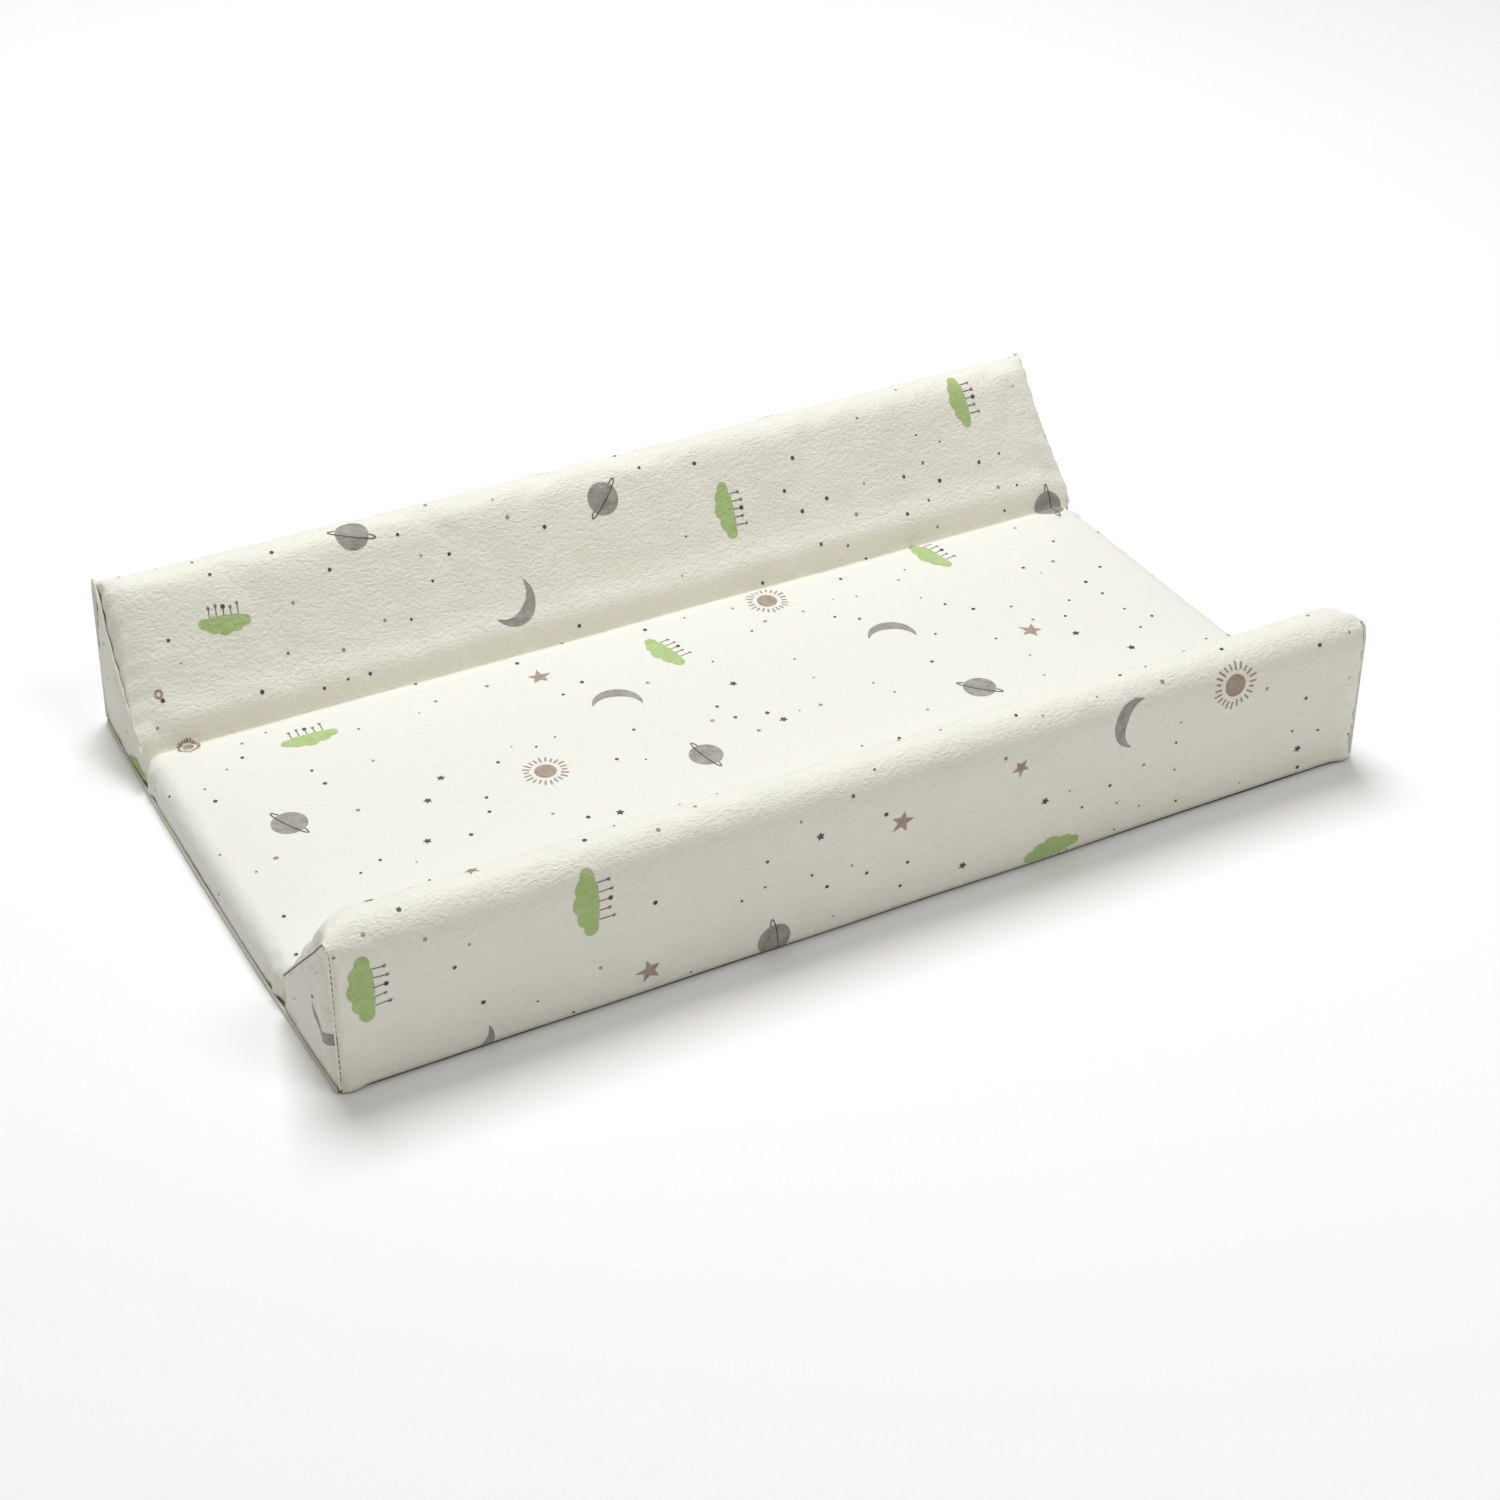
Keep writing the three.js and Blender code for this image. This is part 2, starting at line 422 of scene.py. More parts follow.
def sewing_thread(colours):
    finish = Finish("sewing_thread")
    places = finish.solid()
    ply = finish.node("ShaderNodeTexWave", {"bands_direction": "DIAGONAL"},
                      {"Vector": places, "Scale": 900.0, "Distortion": 0.6}, "Fac")
    fuzz = finish.noise(places, 1800.0, 2.0)
    body = finish.blend(ply * 0.7, colours.thread, tinted(colours.thread, 1.9))
    return finish.shade(
        Base_Color=finish.blend(fuzz * 0.4, body, tinted(colours.thread, 2.4)),
        Roughness=0.55 + fuzz * 0.2,
        Normal=finish.bump(ply + fuzz * 0.4, 0.0002, 0.7),
        Sheen_Weight=0.25,
    )


def open_foam(colours):
    finish = Finish("open_cell_foam")
    places = finish.solid()
    pores = finish.cells(places, 620.0)
    large = finish.noise(places, 30.0, 3.0)
    # Painted shade: the pores are painted darker, as if shaded inside.
    painted_pore_shade = finish.ramp(pores, ((0.12, 1.0), (0.42, 0.0)))
    aged = finish.blend(large, colours.foam, tinted(colours.foam, 0.85))
    return finish.shade(
        Base_Color=finish.blend(painted_pore_shade * 0.5, aged, tinted(colours.foam, 0.6)),
        Roughness=0.88 + large * 0.08,
        Normal=finish.bump(pores, 0.0007, 0.8),
        Sheen_Weight=0.2,
    )


def pressed_board(colours):
    finish = Finish("pressed_fibre_board")
    places = finish.solid()
    fibres = finish.noise(finish.stretched(places, (1.0, 3.5, 1.0), 0.5), 220.0, 5.0, 0.7)
    sheen = finish.noise(places, 14.0, 3.0)
    body = finish.blend(fibres, tinted(colours.board, 0.7), tinted(colours.board, 1.5))
    return finish.shade(
        Base_Color=finish.blend(sheen * 0.5, body, tinted(colours.board, 1.15)),
        Roughness=0.42 + fibres * 0.25,
        Normal=finish.bump(fibres, 0.0003, 0.5),
    )


def studio_floor(colours):
    finish = Finish("studio_floor")
    places = finish.solid()
    cloudy = finish.noise(places, 1.5, 2.0)
    tone = finish.blend(cloudy, colours.floor, tinted(colours.floor, 0.985))
    return finish.shade(Base_Color=tone, Roughness=0.85, Specular_IOR_Level=0.1)


def finished(name, maker):
    """A material, made once and then shared."""
    found = bpy.data.materials.get(name)
    return found or maker()


# The pattern of the cover


def eased(level):
    level = min(1.0, max(0.0, level))
    return level * level * (3 - 2 * level)


def rounded(level):
    """A quarter circle from 0 to 1."""
    return math.sqrt(1 - (1 - min(1.0, max(0.0, level))) ** 2)


def hump(distance, width):
    return math.exp(-((distance / width) ** 2))


def mixed(first, second, share):
    return tuple(a + (b - a) * share for a, b in zip(first, second))


class Pattern:
    """The flat cover and where each point of it lies on the finished pad.

    A point of the flat sheet is x, along the pad, and v, from the front floor line
    over both wedges to the rear one. across is the same from the nearer side, and
    inward is the distance in from that side's outer wall.
    """

    def __init__(self, sizes):
        self.sizes = sizes
        radius = sizes.ridge_radius
        run = sizes.wedge_base - radius
        rise = sizes.ridge_height - sizes.middle_height - radius
        self.slope = math.atan2(rise, run) + math.asin(radius / math.hypot(run, rise))
        self.arc_from = sizes.ridge_height - radius
        self.slope_from = self.arc_from + radius * (math.pi / 2 + self.slope)
        self.shoulder = (
            radius * (1 + math.sin(self.slope)),
            self.arc_from + radius * math.cos(self.slope),
        )
        self.slope_length = math.hypot(
            sizes.wedge_base - self.shoulder[0], self.shoulder[1] - sizes.middle_height
        )
        self.foot = self.slope_from + self.slope_length
        self.half = self.foot + sizes.half_width - sizes.wedge_base
        self.hem = 0.0028
        roll = sizes.roll_radius
        self.flap = (math.pi / 2 - 1) * roll + sizes.middle_height - roll - 0.0028
        self.reach = sizes.end_wall + self.flap

    def main_section(self, across):
        sizes = self.sizes
        if across < self.arc_from:
            return 0.0, across
        if across < self.slope_from:
            turn = math.pi - (across - self.arc_from) / sizes.ridge_radius
            return (
                sizes.ridge_radius * (1 + math.cos(turn)),
                self.arc_from + sizes.ridge_radius * math.sin(turn),
            )
        if across < self.foot:
            share = (across - self.slope_from) / self.slope_length
            return mixed(self.shoulder, (sizes.wedge_base, sizes.middle_height), share)
        return sizes.wedge_base + across - self.foot, sizes.middle_height

    def end_section(self, across):
        if across >= self.foot:
            return self.main_section(across)
        for low, high in zip(END_SEAM, END_SEAM[1:]):
            if across <= high[0]:
                share = (across - low[0]) / (high[0] - low[0])
                return mixed(low[1:], high[1:], share)
        return END_SEAM[-1][1:]

    def seam_height(self, inward):
        """Height of the end seam over a place on the gusset."""
        rising = [(u, z) for _, u, z in END_SEAM[1:]]
        for low, high in zip(rising, rising[1:]):
            if inward <= high[0]:
                return low[1] + (high[1] - low[1]) * (inward - low[0]) / (high[0] - low[0])
        return rising[-1][1]

    def across(self, v):
        return v if v <= self.half else 2 * self.half - v

    def bow(self, inward, end):
        """How far an end's foot stands out past the top of its seam."""
        y = self.sizes.half_width - inward
        flare = self.sizes.right_flare if end > 0 else 0.0
        return self.sizes.end_bow * (1 - (y / self.sizes.half_width) ** 2) + flare

    def corner(self, distance, up):
        """How far the sheets are pulled in beside the outer corner of a wedge's end."""
        deep = 0.0018 - 0.0013 * eased(1 - up / 0.010)
        return deep * max(0.0, 1 - max(0.0, distance) / 0.006) ** 2

    def horn(self, side, end, inward, up):
        """How far the tip of an end seam is drawn in along the pad, and lifted."""
        drawn, lifted = HORNS.get((side, end), (0.0, 0.0))
        share = eased((up - 0.055) / 0.055) * hump(inward - 0.004, 0.022)
        return drawn * share, lifted * share

    def fuller(self, side, up):
        """How much higher a place on the rear wedge stands than on the front one."""
        share = (up - self.sizes.middle_height) / 0.090
        return self.sizes.rear_rise * min(1.0, max(0.0, share)) if side > 0 else 0.0

    def gusset_top(self, side, end, inward):
        top = self.seam_height(inward) - 0.0010
        top -= 0.0063 * eased((inward - 0.080) / 0.012)
        return top + self.horn(side, end, inward, top)[1] + self.fuller(side, top)

    def place(self, x, v):
        """The point of the pad under a point of the flat sheet."""
        sizes = self.sizes
        side = 1 if v > self.half else -1
        end = -1 if x < 0 else 1
        across = self.across(v)
        along = abs(x)
        to_end = sizes.end_wall - along
        fullness = rounded(to_end / (sizes.left_taper if end < 0 else sizes.right_taper))
        inward, up = mixed(self.end_section(across), self.main_section(across), fullness)
        if across >= self.foot:
            lying = (across - self.foot) / (self.half - self.foot)
            up += sizes.crown * eased(lying * 2.2) * eased(to_end / 0.05)
        rolled = eased((across - self.foot + 0.014) / 0.014)
        past = along - (sizes.end_wall - sizes.roll_radius)
        if past > 0 and rolled > 0:
            turn = min(past / sizes.roll_radius, math.pi / 2)
            hanging = max(0.0, past - math.pi / 2 * sizes.roll_radius)
            curled = sizes.end_wall - sizes.roll_radius * (1 - math.sin(turn))
            fallen = up - sizes.roll_radius * (1 - math.cos(turn)) - hanging
            along += (curled - along) * rolled
            up += (fallen - up) * rolled
        if across < self.foot - 1e-5:
            drawn, lifted = self.horn(side, end, inward, up)
            fade = eased(1 - to_end / 0.034)
            along -= drawn * fade
            inward += self.corner(to_end, up)
            up += lifted * fade + self.fuller(side, up)
            up -= 0.0018 * eased(1 - to_end / 0.022) * eased(1 - across / 0.016)
        low = 1 - min(1.0, max(0.0, up / sizes.ridge_height))
        along += self.bow(inward, end) * eased((along - 0.29) / 0.09) * low
        return Vector((end * along, side * (sizes.half_width - inward), up))

    def relief(self, x, v):
        """How far the sheet stands out from its filling, or sinks in."""
        sizes = self.sizes
        across = self.across(v)
        front = v <= self.half
        to_end = sizes.end_wall - abs(x)
        on_wedge = eased((self.foot - across) / 0.02)
        on_slope = on_wedge * eased((across - self.arc_from) / 0.02)
        rise = 0.0012 * on_wedge * noise.noise(Vector((x * 8, v * 9, 1.3)))
        rise += 0.0007 * (1 - on_wedge) * noise.noise(Vector((x * 9, v * 9, 4.1)))
        rise += 0.0003 * on_slope * noise.noise(Vector((x * 34, v * 105, 7.7)))
        crest = hump(across - self.arc_from - 0.012, 0.022)
        rise += 0.0003 * crest * noise.noise(Vector((x * 40, v * 20, 2.2)))
        over_end = eased((abs(x) - sizes.end_wall + 0.012) / 0.012)
        rise -= 0.0020 * hump(across - self.foot, 0.0045) * (1 - 0.1 * over_end)
        rise += 0.0030 * hump(across - self.foot + 0.017, 0.011) * eased(to_end / 0.03)
        rise += 0.0012 * hump(across - self.foot - 0.012, 0.009) * eased(to_end / 0.03)
        if front:
            gather = hump(x - 0.045, 0.03) * hump(across - 0.104, 0.012)
            rise += 0.0009 * gather * math.sin((x + across * 0.8) * 620)
        if across < self.foot:
            pull = math.sin(across * 420 + 3 * noise.noise(Vector((v * 30, x, 9))))
            rise += 0.0005 * pull * hump(to_end, 0.016) * eased(across / 0.03)
            rise -= 0.0014 * hump(to_end, 0.0032)
            rise += 0.0014 * hump(to_end - 0.009, 0.006) * hump(across - 0.004, 0.008)
        else:
            tuck = across - self.foot
            rise -= 0.0012 * over_end * hump(tuck - 0.006, 0.0035)
            rise += 0.0012 * over_end * hump(tuck - 0.013, 0.0045)
            rise -= 0.0010 * over_end * hump(tuck - 0.021, 0.0040)
        return rise


def stations(spans):
    """Places along a line, from spans of a start, an end and a number of parts."""
    found = []
    for start, stop, parts in spans:
        found += [start + (stop - start) * i / parts for i in range(parts)]
    return found + [spans[-1][1]]


def halved(places):
    """The places again, with one halfway between each two."""
    between = [(a + b) / 2 for a, b in zip(places, places[1:])]
    return sorted([*places, *between])


# Making pieces


def new_piece(name, mesh, material, slot, *nodes, smooth=True):
    """Links a finished mesh as a piece of the pad."""
    mesh.name = name
    piece = bpy.data.objects.new(name, mesh)
    bpy.context.scene.collection.objects.link(piece)
    mesh.materials.clear()
    mesh.materials.append(material)
    if smooth:
        mesh.shade_smooth()
    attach(piece, BODY)
    if nodes:
        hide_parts(*nodes)
    return piece


def to_mesh(bm, name):
    mesh = bpy.data.meshes.new(name)
    bm.to_mesh(mesh)
    bm.free()
    return mesh


def with_thickness(piece, thickness):
    """Gives a sheet its thickness, inwards."""
    wall = piece.modifiers.new("Sheet thickness", "SOLIDIFY")
    wall.thickness = thickness
    wall.offset = -1
    wall.use_even_offset = True
    wall.use_quality_normals = True
    return piece


def smoothed(mesh):
    """A mesh subdivided once, with its flat places kept where they are."""
    piece = bpy.data.objects.new("smoothing", mesh)
    bpy.context.scene.collection.objects.link(piece)
    finer = piece.modifiers.new("Finer", "SUBSURF")
    finer.levels = 1
    finer.render_levels = 1
    finer.uv_smooth = "NONE"
    graph = bpy.context.evaluated_depsgraph_get()
    made = bpy.data.meshes.new_from_object(piece.evaluated_get(graph))
    bpy.data.objects.remove(piece)
    return made


def flat_places(mesh):
    """The flat place of each vertex, from the sheet's own map."""
    found = [None] * len(mesh.vertices)
    layer = mesh.uv_layers[SHEET_UV].uv
    for loop in mesh.loops:
        found[loop.vertex_index] = layer[loop.index].vector.copy()
    return found


def settle(mesh, hold, slack, pressure, cap, frames=20):
    """Lets the sheet settle over its filling as cloth, and limits how far it moves."""
    piece = bpy.data.objects.new("settling", mesh)
    bpy.context.scene.collection.objects.link(piece)
    held = piece.vertex_groups.new(name="held")
    for vertex, weight in zip(mesh.vertices, hold):
        held.add([vertex.index], weight, "REPLACE")
    cloth = piece.modifiers.new("Settle", "CLOTH")
    rules = cloth.settings
    rules.quality = 5
    rules.mass = 0.25
    rules.tension_stiffness = 18
    rules.compression_stiffness = 18
    rules.shear_stiffness = 8
    rules.bending_stiffness = 0.25
    rules.vertex_group_mass = "held"
    rules.pin_stiffness = 1.0
    rules.shrink_min = -slack
    rules.use_pressure = True
    rules.uniform_pressure_force = pressure
    rules.effector_weights.gravity = 0
    cloth.collision_settings.use_collision = False
    cloth.point_cache.frame_start = 1
    cloth.point_cache.frame_end = frames
    start = [vertex.co.copy() for vertex in mesh.vertices]
    scene = bpy.context.scene
    for step in range(1, frames + 1):
        scene.frame_set(step)
    graph = bpy.context.evaluated_depsgraph_get()
    moved = [vertex.co.copy() for vertex in piece.evaluated_get(graph).data.vertices]
    bpy.data.objects.remove(piece)
    scene.frame_set(1)
    for vertex, was, now in zip(mesh.vertices, start, moved):
        step = now - was
        if step.length > 1e-7:
            step *= cap * math.tanh(step.length / cap) / step.length
        vertex.co = was + step
    mesh.update()


def cover_stations(pattern):
    """The sheet's lines along and across the pad before it is subdivided."""
    wall = pattern.sizes.end_wall
    columns = stations((
        (-pattern.reach, -wall, 5),
        (-wall, 0.010 - wall, 5),
        (0.010 - wall, 0.040 - wall, 9),
        (0.040 - wall, wall - 0.040, 84),
        (wall - 0.040, wall - 0.010, 9),
        (wall - 0.010, wall, 5),
        (wall, pattern.reach, 5),
    ))
    full = 2 * pattern.half
    rows = stations((
        (pattern.hem, pattern.arc_from, 13),
        (pattern.arc_from, pattern.slope_from, 10),
        (pattern.slope_from, pattern.foot, 14),
        (pattern.foot, full - pattern.foot, 37),
        (full - pattern.foot, full - pattern.slope_from, 14),
        (full - pattern.slope_from, full - pattern.arc_from, 10),
        (full - pattern.arc_from, full - pattern.hem, 13),
    ))
    return columns, rows


def map_flat(bm):
    """Writes the flat place of each corner as the sheet's map."""
    layer = bm.loops.layers.uv.new(SHEET_UV)
    for face in bm.faces:
        for loop in face.loops:
            loop[layer].uv = loop.vert.co.xy


def flat_sheet(columns, rows):
    """A flat grid whose lines lie at the given places, with its map in metres."""
    bm = bmesh.new()
    across, up = len(columns) - 1, len(rows) - 1
    bmesh.ops.create_grid(bm, x_segments=across, y_segments=up, size=1)
    if len(bm.verts) != len(columns) * len(rows):
        raise RuntimeError("the flat grid has other divisions than its stations")
    for vertex in bm.verts:
        i = round((vertex.co.x + 1) / 2 * across)
        j = round((vertex.co.y + 1) / 2 * up)
        vertex.co = (columns[i], rows[j], 0)
    map_flat(bm)
    return bm


def add_bake_map(mesh, low, size):
    """A second map of the flat sheet that fills the unit square."""
    source = mesh.uv_layers[SHEET_UV].uv
    target = mesh.uv_layers.new(name=BAKE_UV).uv
    for i, place in enumerate(source):
        target[i].vector = (place.vector - Vector(low)) / size


def raised(mesh, relief):
    """Moves each vertex along its normal by the relief at its flat place."""
    places = flat_places(mesh)
    normals = [normal.vector.copy() for normal in mesh.vertex_normals]
    for vertex, place, normal in zip(mesh.vertices, places, normals):
        vertex.co += normal * relief(place)
    mesh.update()


def cover_mesh(pattern):
    sizes = pattern.sizes
    columns, rows = cover_stations(pattern)
    bm = flat_sheet(columns, rows)
    beyond = [
        face
        for face in bm.faces
        if abs(face.calc_center_median().x) > sizes.end_wall
        and pattern.across(face.calc_center_median().y) < pattern.foot
    ]
    bmesh.ops.delete(bm, geom=beyond, context="FACES")
    sharp = bm.edges.layers.float.new("crease_edge")
    for edge in bm.edges:
        at = [pattern.across(vertex.co.y) for vertex in edge.verts]
        if max(abs(place - pattern.foot) for place in at) < 1e-5:
            edge[sharp] = 0.75
    for vertex in bm.verts:
        vertex.co = pattern.place(vertex.co.x, vertex.co.y)
    mesh = to_mesh(bm, "cover")
    settle(mesh, cover_hold(mesh, pattern), sizes.slack, 1.5, 0.0022)
    mesh = smoothed(mesh)
    raised(mesh, lambda place: pattern.relief(place.x, place.y))
    add_bake_map(mesh, (-0.41, -0.02), 0.82)
    return mesh


def cover_hold(mesh, pattern):
    """How firmly each vertex is held: sewn at the seams, loose on the slopes."""
    hold = []
    for place in flat_places(mesh):
        across = pattern.across(place.y)
        to_end = pattern.sizes.end_wall - abs(place.x)
        if across < pattern.foot:
            firm = 0.12 + 0.5 * hump(across - pattern.foot, 0.01)
            firm += 0.15 * hump(across - pattern.arc_from - 0.02, 0.02)
            sewn = to_end < 0.001 or across < pattern.hem + 0.001
        else:
            firm = 0.45
            sewn = abs(place.x) > pattern.reach - 0.001
        sewn = sewn or abs(across - pattern.foot) < 1e-4
        hold.append(1.0 if sewn else firm)
    return hold


def gusset_mesh(pattern, side, end):
    """An end panel of a wedge, crowned by the foam behind it."""
    sizes = pattern.sizes
    home = gusset_home(side, end)
    parts = 26
    bm = flat_sheet(
        stations(((0.0, 0.020, 8), (0.020, sizes.wedge_base, 18))),
        stations(((0.0, 1.0, parts),)),
    )
    layer = bm.loops.layers.uv.active
    foot = GUSSET_LOW.z - 0.0013
    for vertex in bm.verts:
        inward, share = vertex.co.xy
        edge = 0.0010
        inner = edge + inward * (sizes.wedge_base + 0.0015 - edge) / sizes.wedge_base
        up = foot + (pattern.gusset_top(side, end, inner) - foot) * share
        low = 1 - up / sizes.ridge_height
        out = sizes.end_wall - 0.0006 + pattern.bow(inward, end) * low
        out += 0.0008 * eased(1 - (up - foot) / 0.006)
        out -= 0.0022 * eased((inner - 0.0870) / 0.005)
        out -= pattern.corner(inner, up) + pattern.horn(side, end, inner, up)[0]
        for loop in vertex.link_loops:
            loop[layer].uv = (home[0] + inward, home[1] + up)
        vertex.co = (end * out, side * (sizes.half_width - inner), up)
    if side * end > 0:
        bmesh.ops.reverse_faces(bm, faces=bm.faces[:])
    bm.normal_update()
    outwards = sum(face.normal.x for face in bm.faces) * end
    if outwards < 0:
        bmesh.ops.reverse_faces(bm, faces=bm.faces[:])
    mesh = to_mesh(bm, "gusset")
    hold = [1.0 if on_rim(v, pattern, side, end) else 0.03 for v in mesh.vertices]
    settle(mesh, hold, 0.006, 6.0, 0.0035)
    mesh = smoothed(mesh)
    raised(mesh, lambda place: gusset_folds(place - Vector(home), side, end))
    add_bake_map(mesh, home, 0.13)
    return mesh


def gusset_home(side, end):
    """Where a gusset's own flat place starts on the print's plan."""
    return (end * 1.0, 0.0 if side < 0 else 0.5)


def on_rim(vertex, pattern, side, end):
    inward = pattern.sizes.half_width - abs(vertex.co.y)
    near_side = inward < 0.0015 or inward > pattern.sizes.wedge_base - 0.0040
    top = pattern.gusset_top(side, end, inward)
    return near_side or abs(vertex.co.z - top) < 0.0015 or vertex.co.z < GUSSET_LOW.z


def gusset_folds(place, side, end):
    """Soft upright folds beside the outer corner, stronger at the front."""
    inward, up = place
    strength = 1.0 if side < 0 else 0.45
    tall = eased((up - 0.004) / 0.02) * eased((0.100 - up) / 0.02)
    drift = 0.004 * noise.noise(Vector((up * 22, end * 3.0, side * 2.0)))
    ridge = 0.0016 * hump(inward - 0.013 - drift, 0.0045)
    ridge -= 0.0013 * hump(inward - 0.0055 - drift / 2, 0.0022)
    ridge -= 0.0010 * hump(inward - 0.024 - drift, 0.005)
    ripple = 0.0006 * noise.noise(Vector((inward * 45, up * 28, side + 2.0 * end)))
    return strength * tall * ridge + ripple


def seam_path(pattern, side, end, inset, out):
    """Points along a wedge's end seam: up the corner and down the slope."""
    sizes = pattern.sizes
    points = []
    for _, inward, up in END_SEAM:
        low = 1 - up / sizes.ridge_height
        drawn, lifted = pattern.horn(side, end, inward, up)
        x = sizes.end_wall + out + pattern.bow(inward, end) * low - drawn
        up += lifted + pattern.fuller(side, up)
        points.append(Vector((end * x, side * (sizes.half_width - inward), up)))
    points[0].z = GUSSET_LOW.z
    middle = Vector((points[0].x, side * (sizes.half_width - 0.030), 0.045))
    shifted = []
    for i, point in enumerate(points):
        before = points[max(0, i - 1)]
        after = points[min(len(points) - 1, i + 1)]
        run = (after - before).normalized()
        inwards = run.cross(Vector((1, 0, 0))).normalized()
        if inwards.dot(middle - point) < 0:
            inwards.negate()
        shifted.append(point + inwards * inset)
    return shifted


def evenly(points, pitch):
    """Points a pitch apart along a line, each with the line's direction."""
    found = []
    left = pitch / 2
    for a, b in zip(points, points[1:]):
        run = b - a
        at = left
        while at < run.length:
            found.append((a + run * (at / run.length), run.normalized()))
            at += pitch
        left = at - run.length
    return found


def swept(points, radius, sides=8):
    """A round welt along a line, drawn out ring by ring."""
    bm = bmesh.new()
    frames = []
    for i, point in enumerate(points):
        before = points[max(0, i - 1)]
        after = points[min(len(points) - 1, i + 1)]
        turn = Vector((0, 0, 1)).rotation_difference((after - before).normalized())
        frames.append(Matrix.Translation(point) @ turn.to_matrix().to_4x4())
    ring = bmesh.ops.create_circle(bm, cap_ends=True, segments=sides, radius=radius,
                                   matrix=frames[0])["verts"]
    edges = list({edge for vertex in ring for edge in vertex.link_edges})
    for last, here in zip(frames, frames[1:]):
        grown = bmesh.ops.extrude_edge_only(bm, edges=edges)["geom"]
        verts = [item for item in grown if isinstance(item, bmesh.types.BMVert)]
        edges = [item for item in grown if isinstance(item, bmesh.types.BMEdge)]
        edges = [edge for edge in edges if all(v in verts for v in edge.verts)]
        bmesh.ops.transform(bm, matrix=here @ last.inverted(), verts=verts)
    bmesh.ops.holes_fill(bm, edges=bm.edges[:], sides=sides)
    bmesh.ops.recalc_face_normals(bm, faces=bm.faces[:])
    return bm


def flat_map_by_place(bm):
    """A sheet map for a piece that was never flat, from its place on the pad."""
    layer = bm.loops.layers.uv.new(SHEET_UV)
    for face in bm.faces:
        for loop in face.loops:
            at = loop.vert.co
            loop[layer].uv = (at.x + at.y, at.z + at.y * 0.5)


# The print


class Plan:
    """The printed sheets laid flat, and their places on the finished pad."""

    def __init__(self, pieces):
        self.corners = []
        flat = []
        for piece in pieces:
            mesh = piece.data
            mesh.calc_loop_triangles()
            places = flat_places(mesh)
            normals = [normal.vector.copy() for normal in mesh.vertex_normals]
            for triangle in mesh.loop_triangles:
                at = list(triangle.vertices)
                flat.append([places[i].to_3d() for i in at])
                self.corners.append(
                    ([mesh.vertices[i].co.copy() for i in at], [normals[i] for i in at])
                )
        self.flat = flat
        points = [corner for triangle in flat for corner in triangle]
        faces = [(3 * i, 3 * i + 1, 3 * i + 2) for i in range(len(flat))]
        self.tree = BVHTree.FromPolygons(points, faces)

    def covers(self, place):
        _, _, _, distance = self.tree.find_nearest(place)
        return distance < 0.0002

    def lift(self, place, height):
        near, _, index, _ = self.tree.find_nearest(place)
        points, normals = self.corners[index]
        at = barycentric_transform(near, *self.flat[index], *points)
        up = barycentric_transform(near, *self.flat[index], *normals)
        return at + up.normalized() * height


def set_down(bm, made, x, v, turn):
    """Moves a new motif from the origin to its place on the plan."""
    matrix = Matrix.Translation((x, v, 0)) @ Matrix.Rotation(turn, 4, "Z")
    bmesh.ops.transform(bm, matrix=matrix, verts=made)


def disc(bm, radius, segments, centre=(0, 0)):
    matrix = Matrix.Translation((*centre, 0))
    return bmesh.ops.create_circle(
        bm, cap_ends=True, segments=segments, radius=radius, matrix=matrix
    )["verts"]


def strip(bm, parts, shape):
    """A band of quads, each corner placed by a function of along and side."""
    made = bmesh.ops.create_grid(bm, x_segments=parts, y_segments=1, size=1)["verts"]
    for vertex in made:
        vertex.co = (*shape(vertex.co.x, vertex.co.y), 0)
    return made


def ring_line(bm, length_, height, width, parts, span=(-1.0, 1.0)):
    """A thin drawn line along part of an ellipse."""

    def shape(along, side):
        angle = math.pi * (span[0] + (span[1] - span[0]) * (along + 1) / 2)
        at = Vector((length_ * math.cos(angle), height * math.sin(angle)))
        out = Vector((math.cos(angle) / length_, math.sin(angle) / height)).normalized()
        return at + out * side * width / 2

    return strip(bm, parts, shape)


def star_shape(bm, radius, depth=0.42):
    made = disc(bm, radius, 10)
    ordered = sorted(made, key=lambda vertex: math.atan2(vertex.co.y, vertex.co.x))
    for i, vertex in enumerate(ordered):
        uneven = 1 + 0.10 * math.sin(i * 2.3)
        vertex.co *= uneven * (depth if i % 2 else 1.0)
    return made


def cloud_shape(bm, size):
    """A cloud's outline, puffed on one long side and flatter on the other."""
    half = size / 2
    puffs = ((-0.75, -0.01, 0.26), (-0.42, 0.17, 0.28), (0.02, 0.27, 0.31),
             (0.44, 0.18, 0.29), (0.75, 0.01, 0.26),
             (-0.40, 0.03, 0.34), (0.0, 0.0, 0.36), (0.40, 0.03, 0.34))
    made = disc(bm, half, 72)
    for vertex in made:
        toward = vertex.co.normalized()
        far = 0.2
        for x, y, radius in puffs:
            near = toward.x * x + toward.y * y
            spare = radius * radius - (x * x + y * y - near * near)
            if spare > 0:
                far = max(far, near + math.sqrt(spare))
        vertex.co = toward * far * half
        vertex.co.y = max(vertex.co.y, -0.31 * half) * 0.82 + 0.085 * half
    return made


# How far each line of rain falls under a cloud, as a share of half its length.
RAIN = (0.41, 0.30, 0.33, 0.38, 0.32)


def rain(bm, size):
    """Five thin lines of rain under a cloud."""
    made = []
    for i, long in enumerate(RAIN):
        x = (i - 2) * 0.14 * size

        def shape(along, side, x=x, long=long):
            down = -0.075 * size - long * size / 2 * (along + 1) / 2
            return Vector((x + side * 0.00030, down))

        made += strip(bm, 3, shape)
    return made


def rain_drops(bm, size, middle):
    made = []
    for i, long in enumerate(RAIN):
        if (i == 2) == middle:
            at = ((i - 2) * 0.14 * size, -0.075 * size - long * size / 2)
            made += disc(bm, 0.0017 if middle else 0.0013, 8, at)
    return made


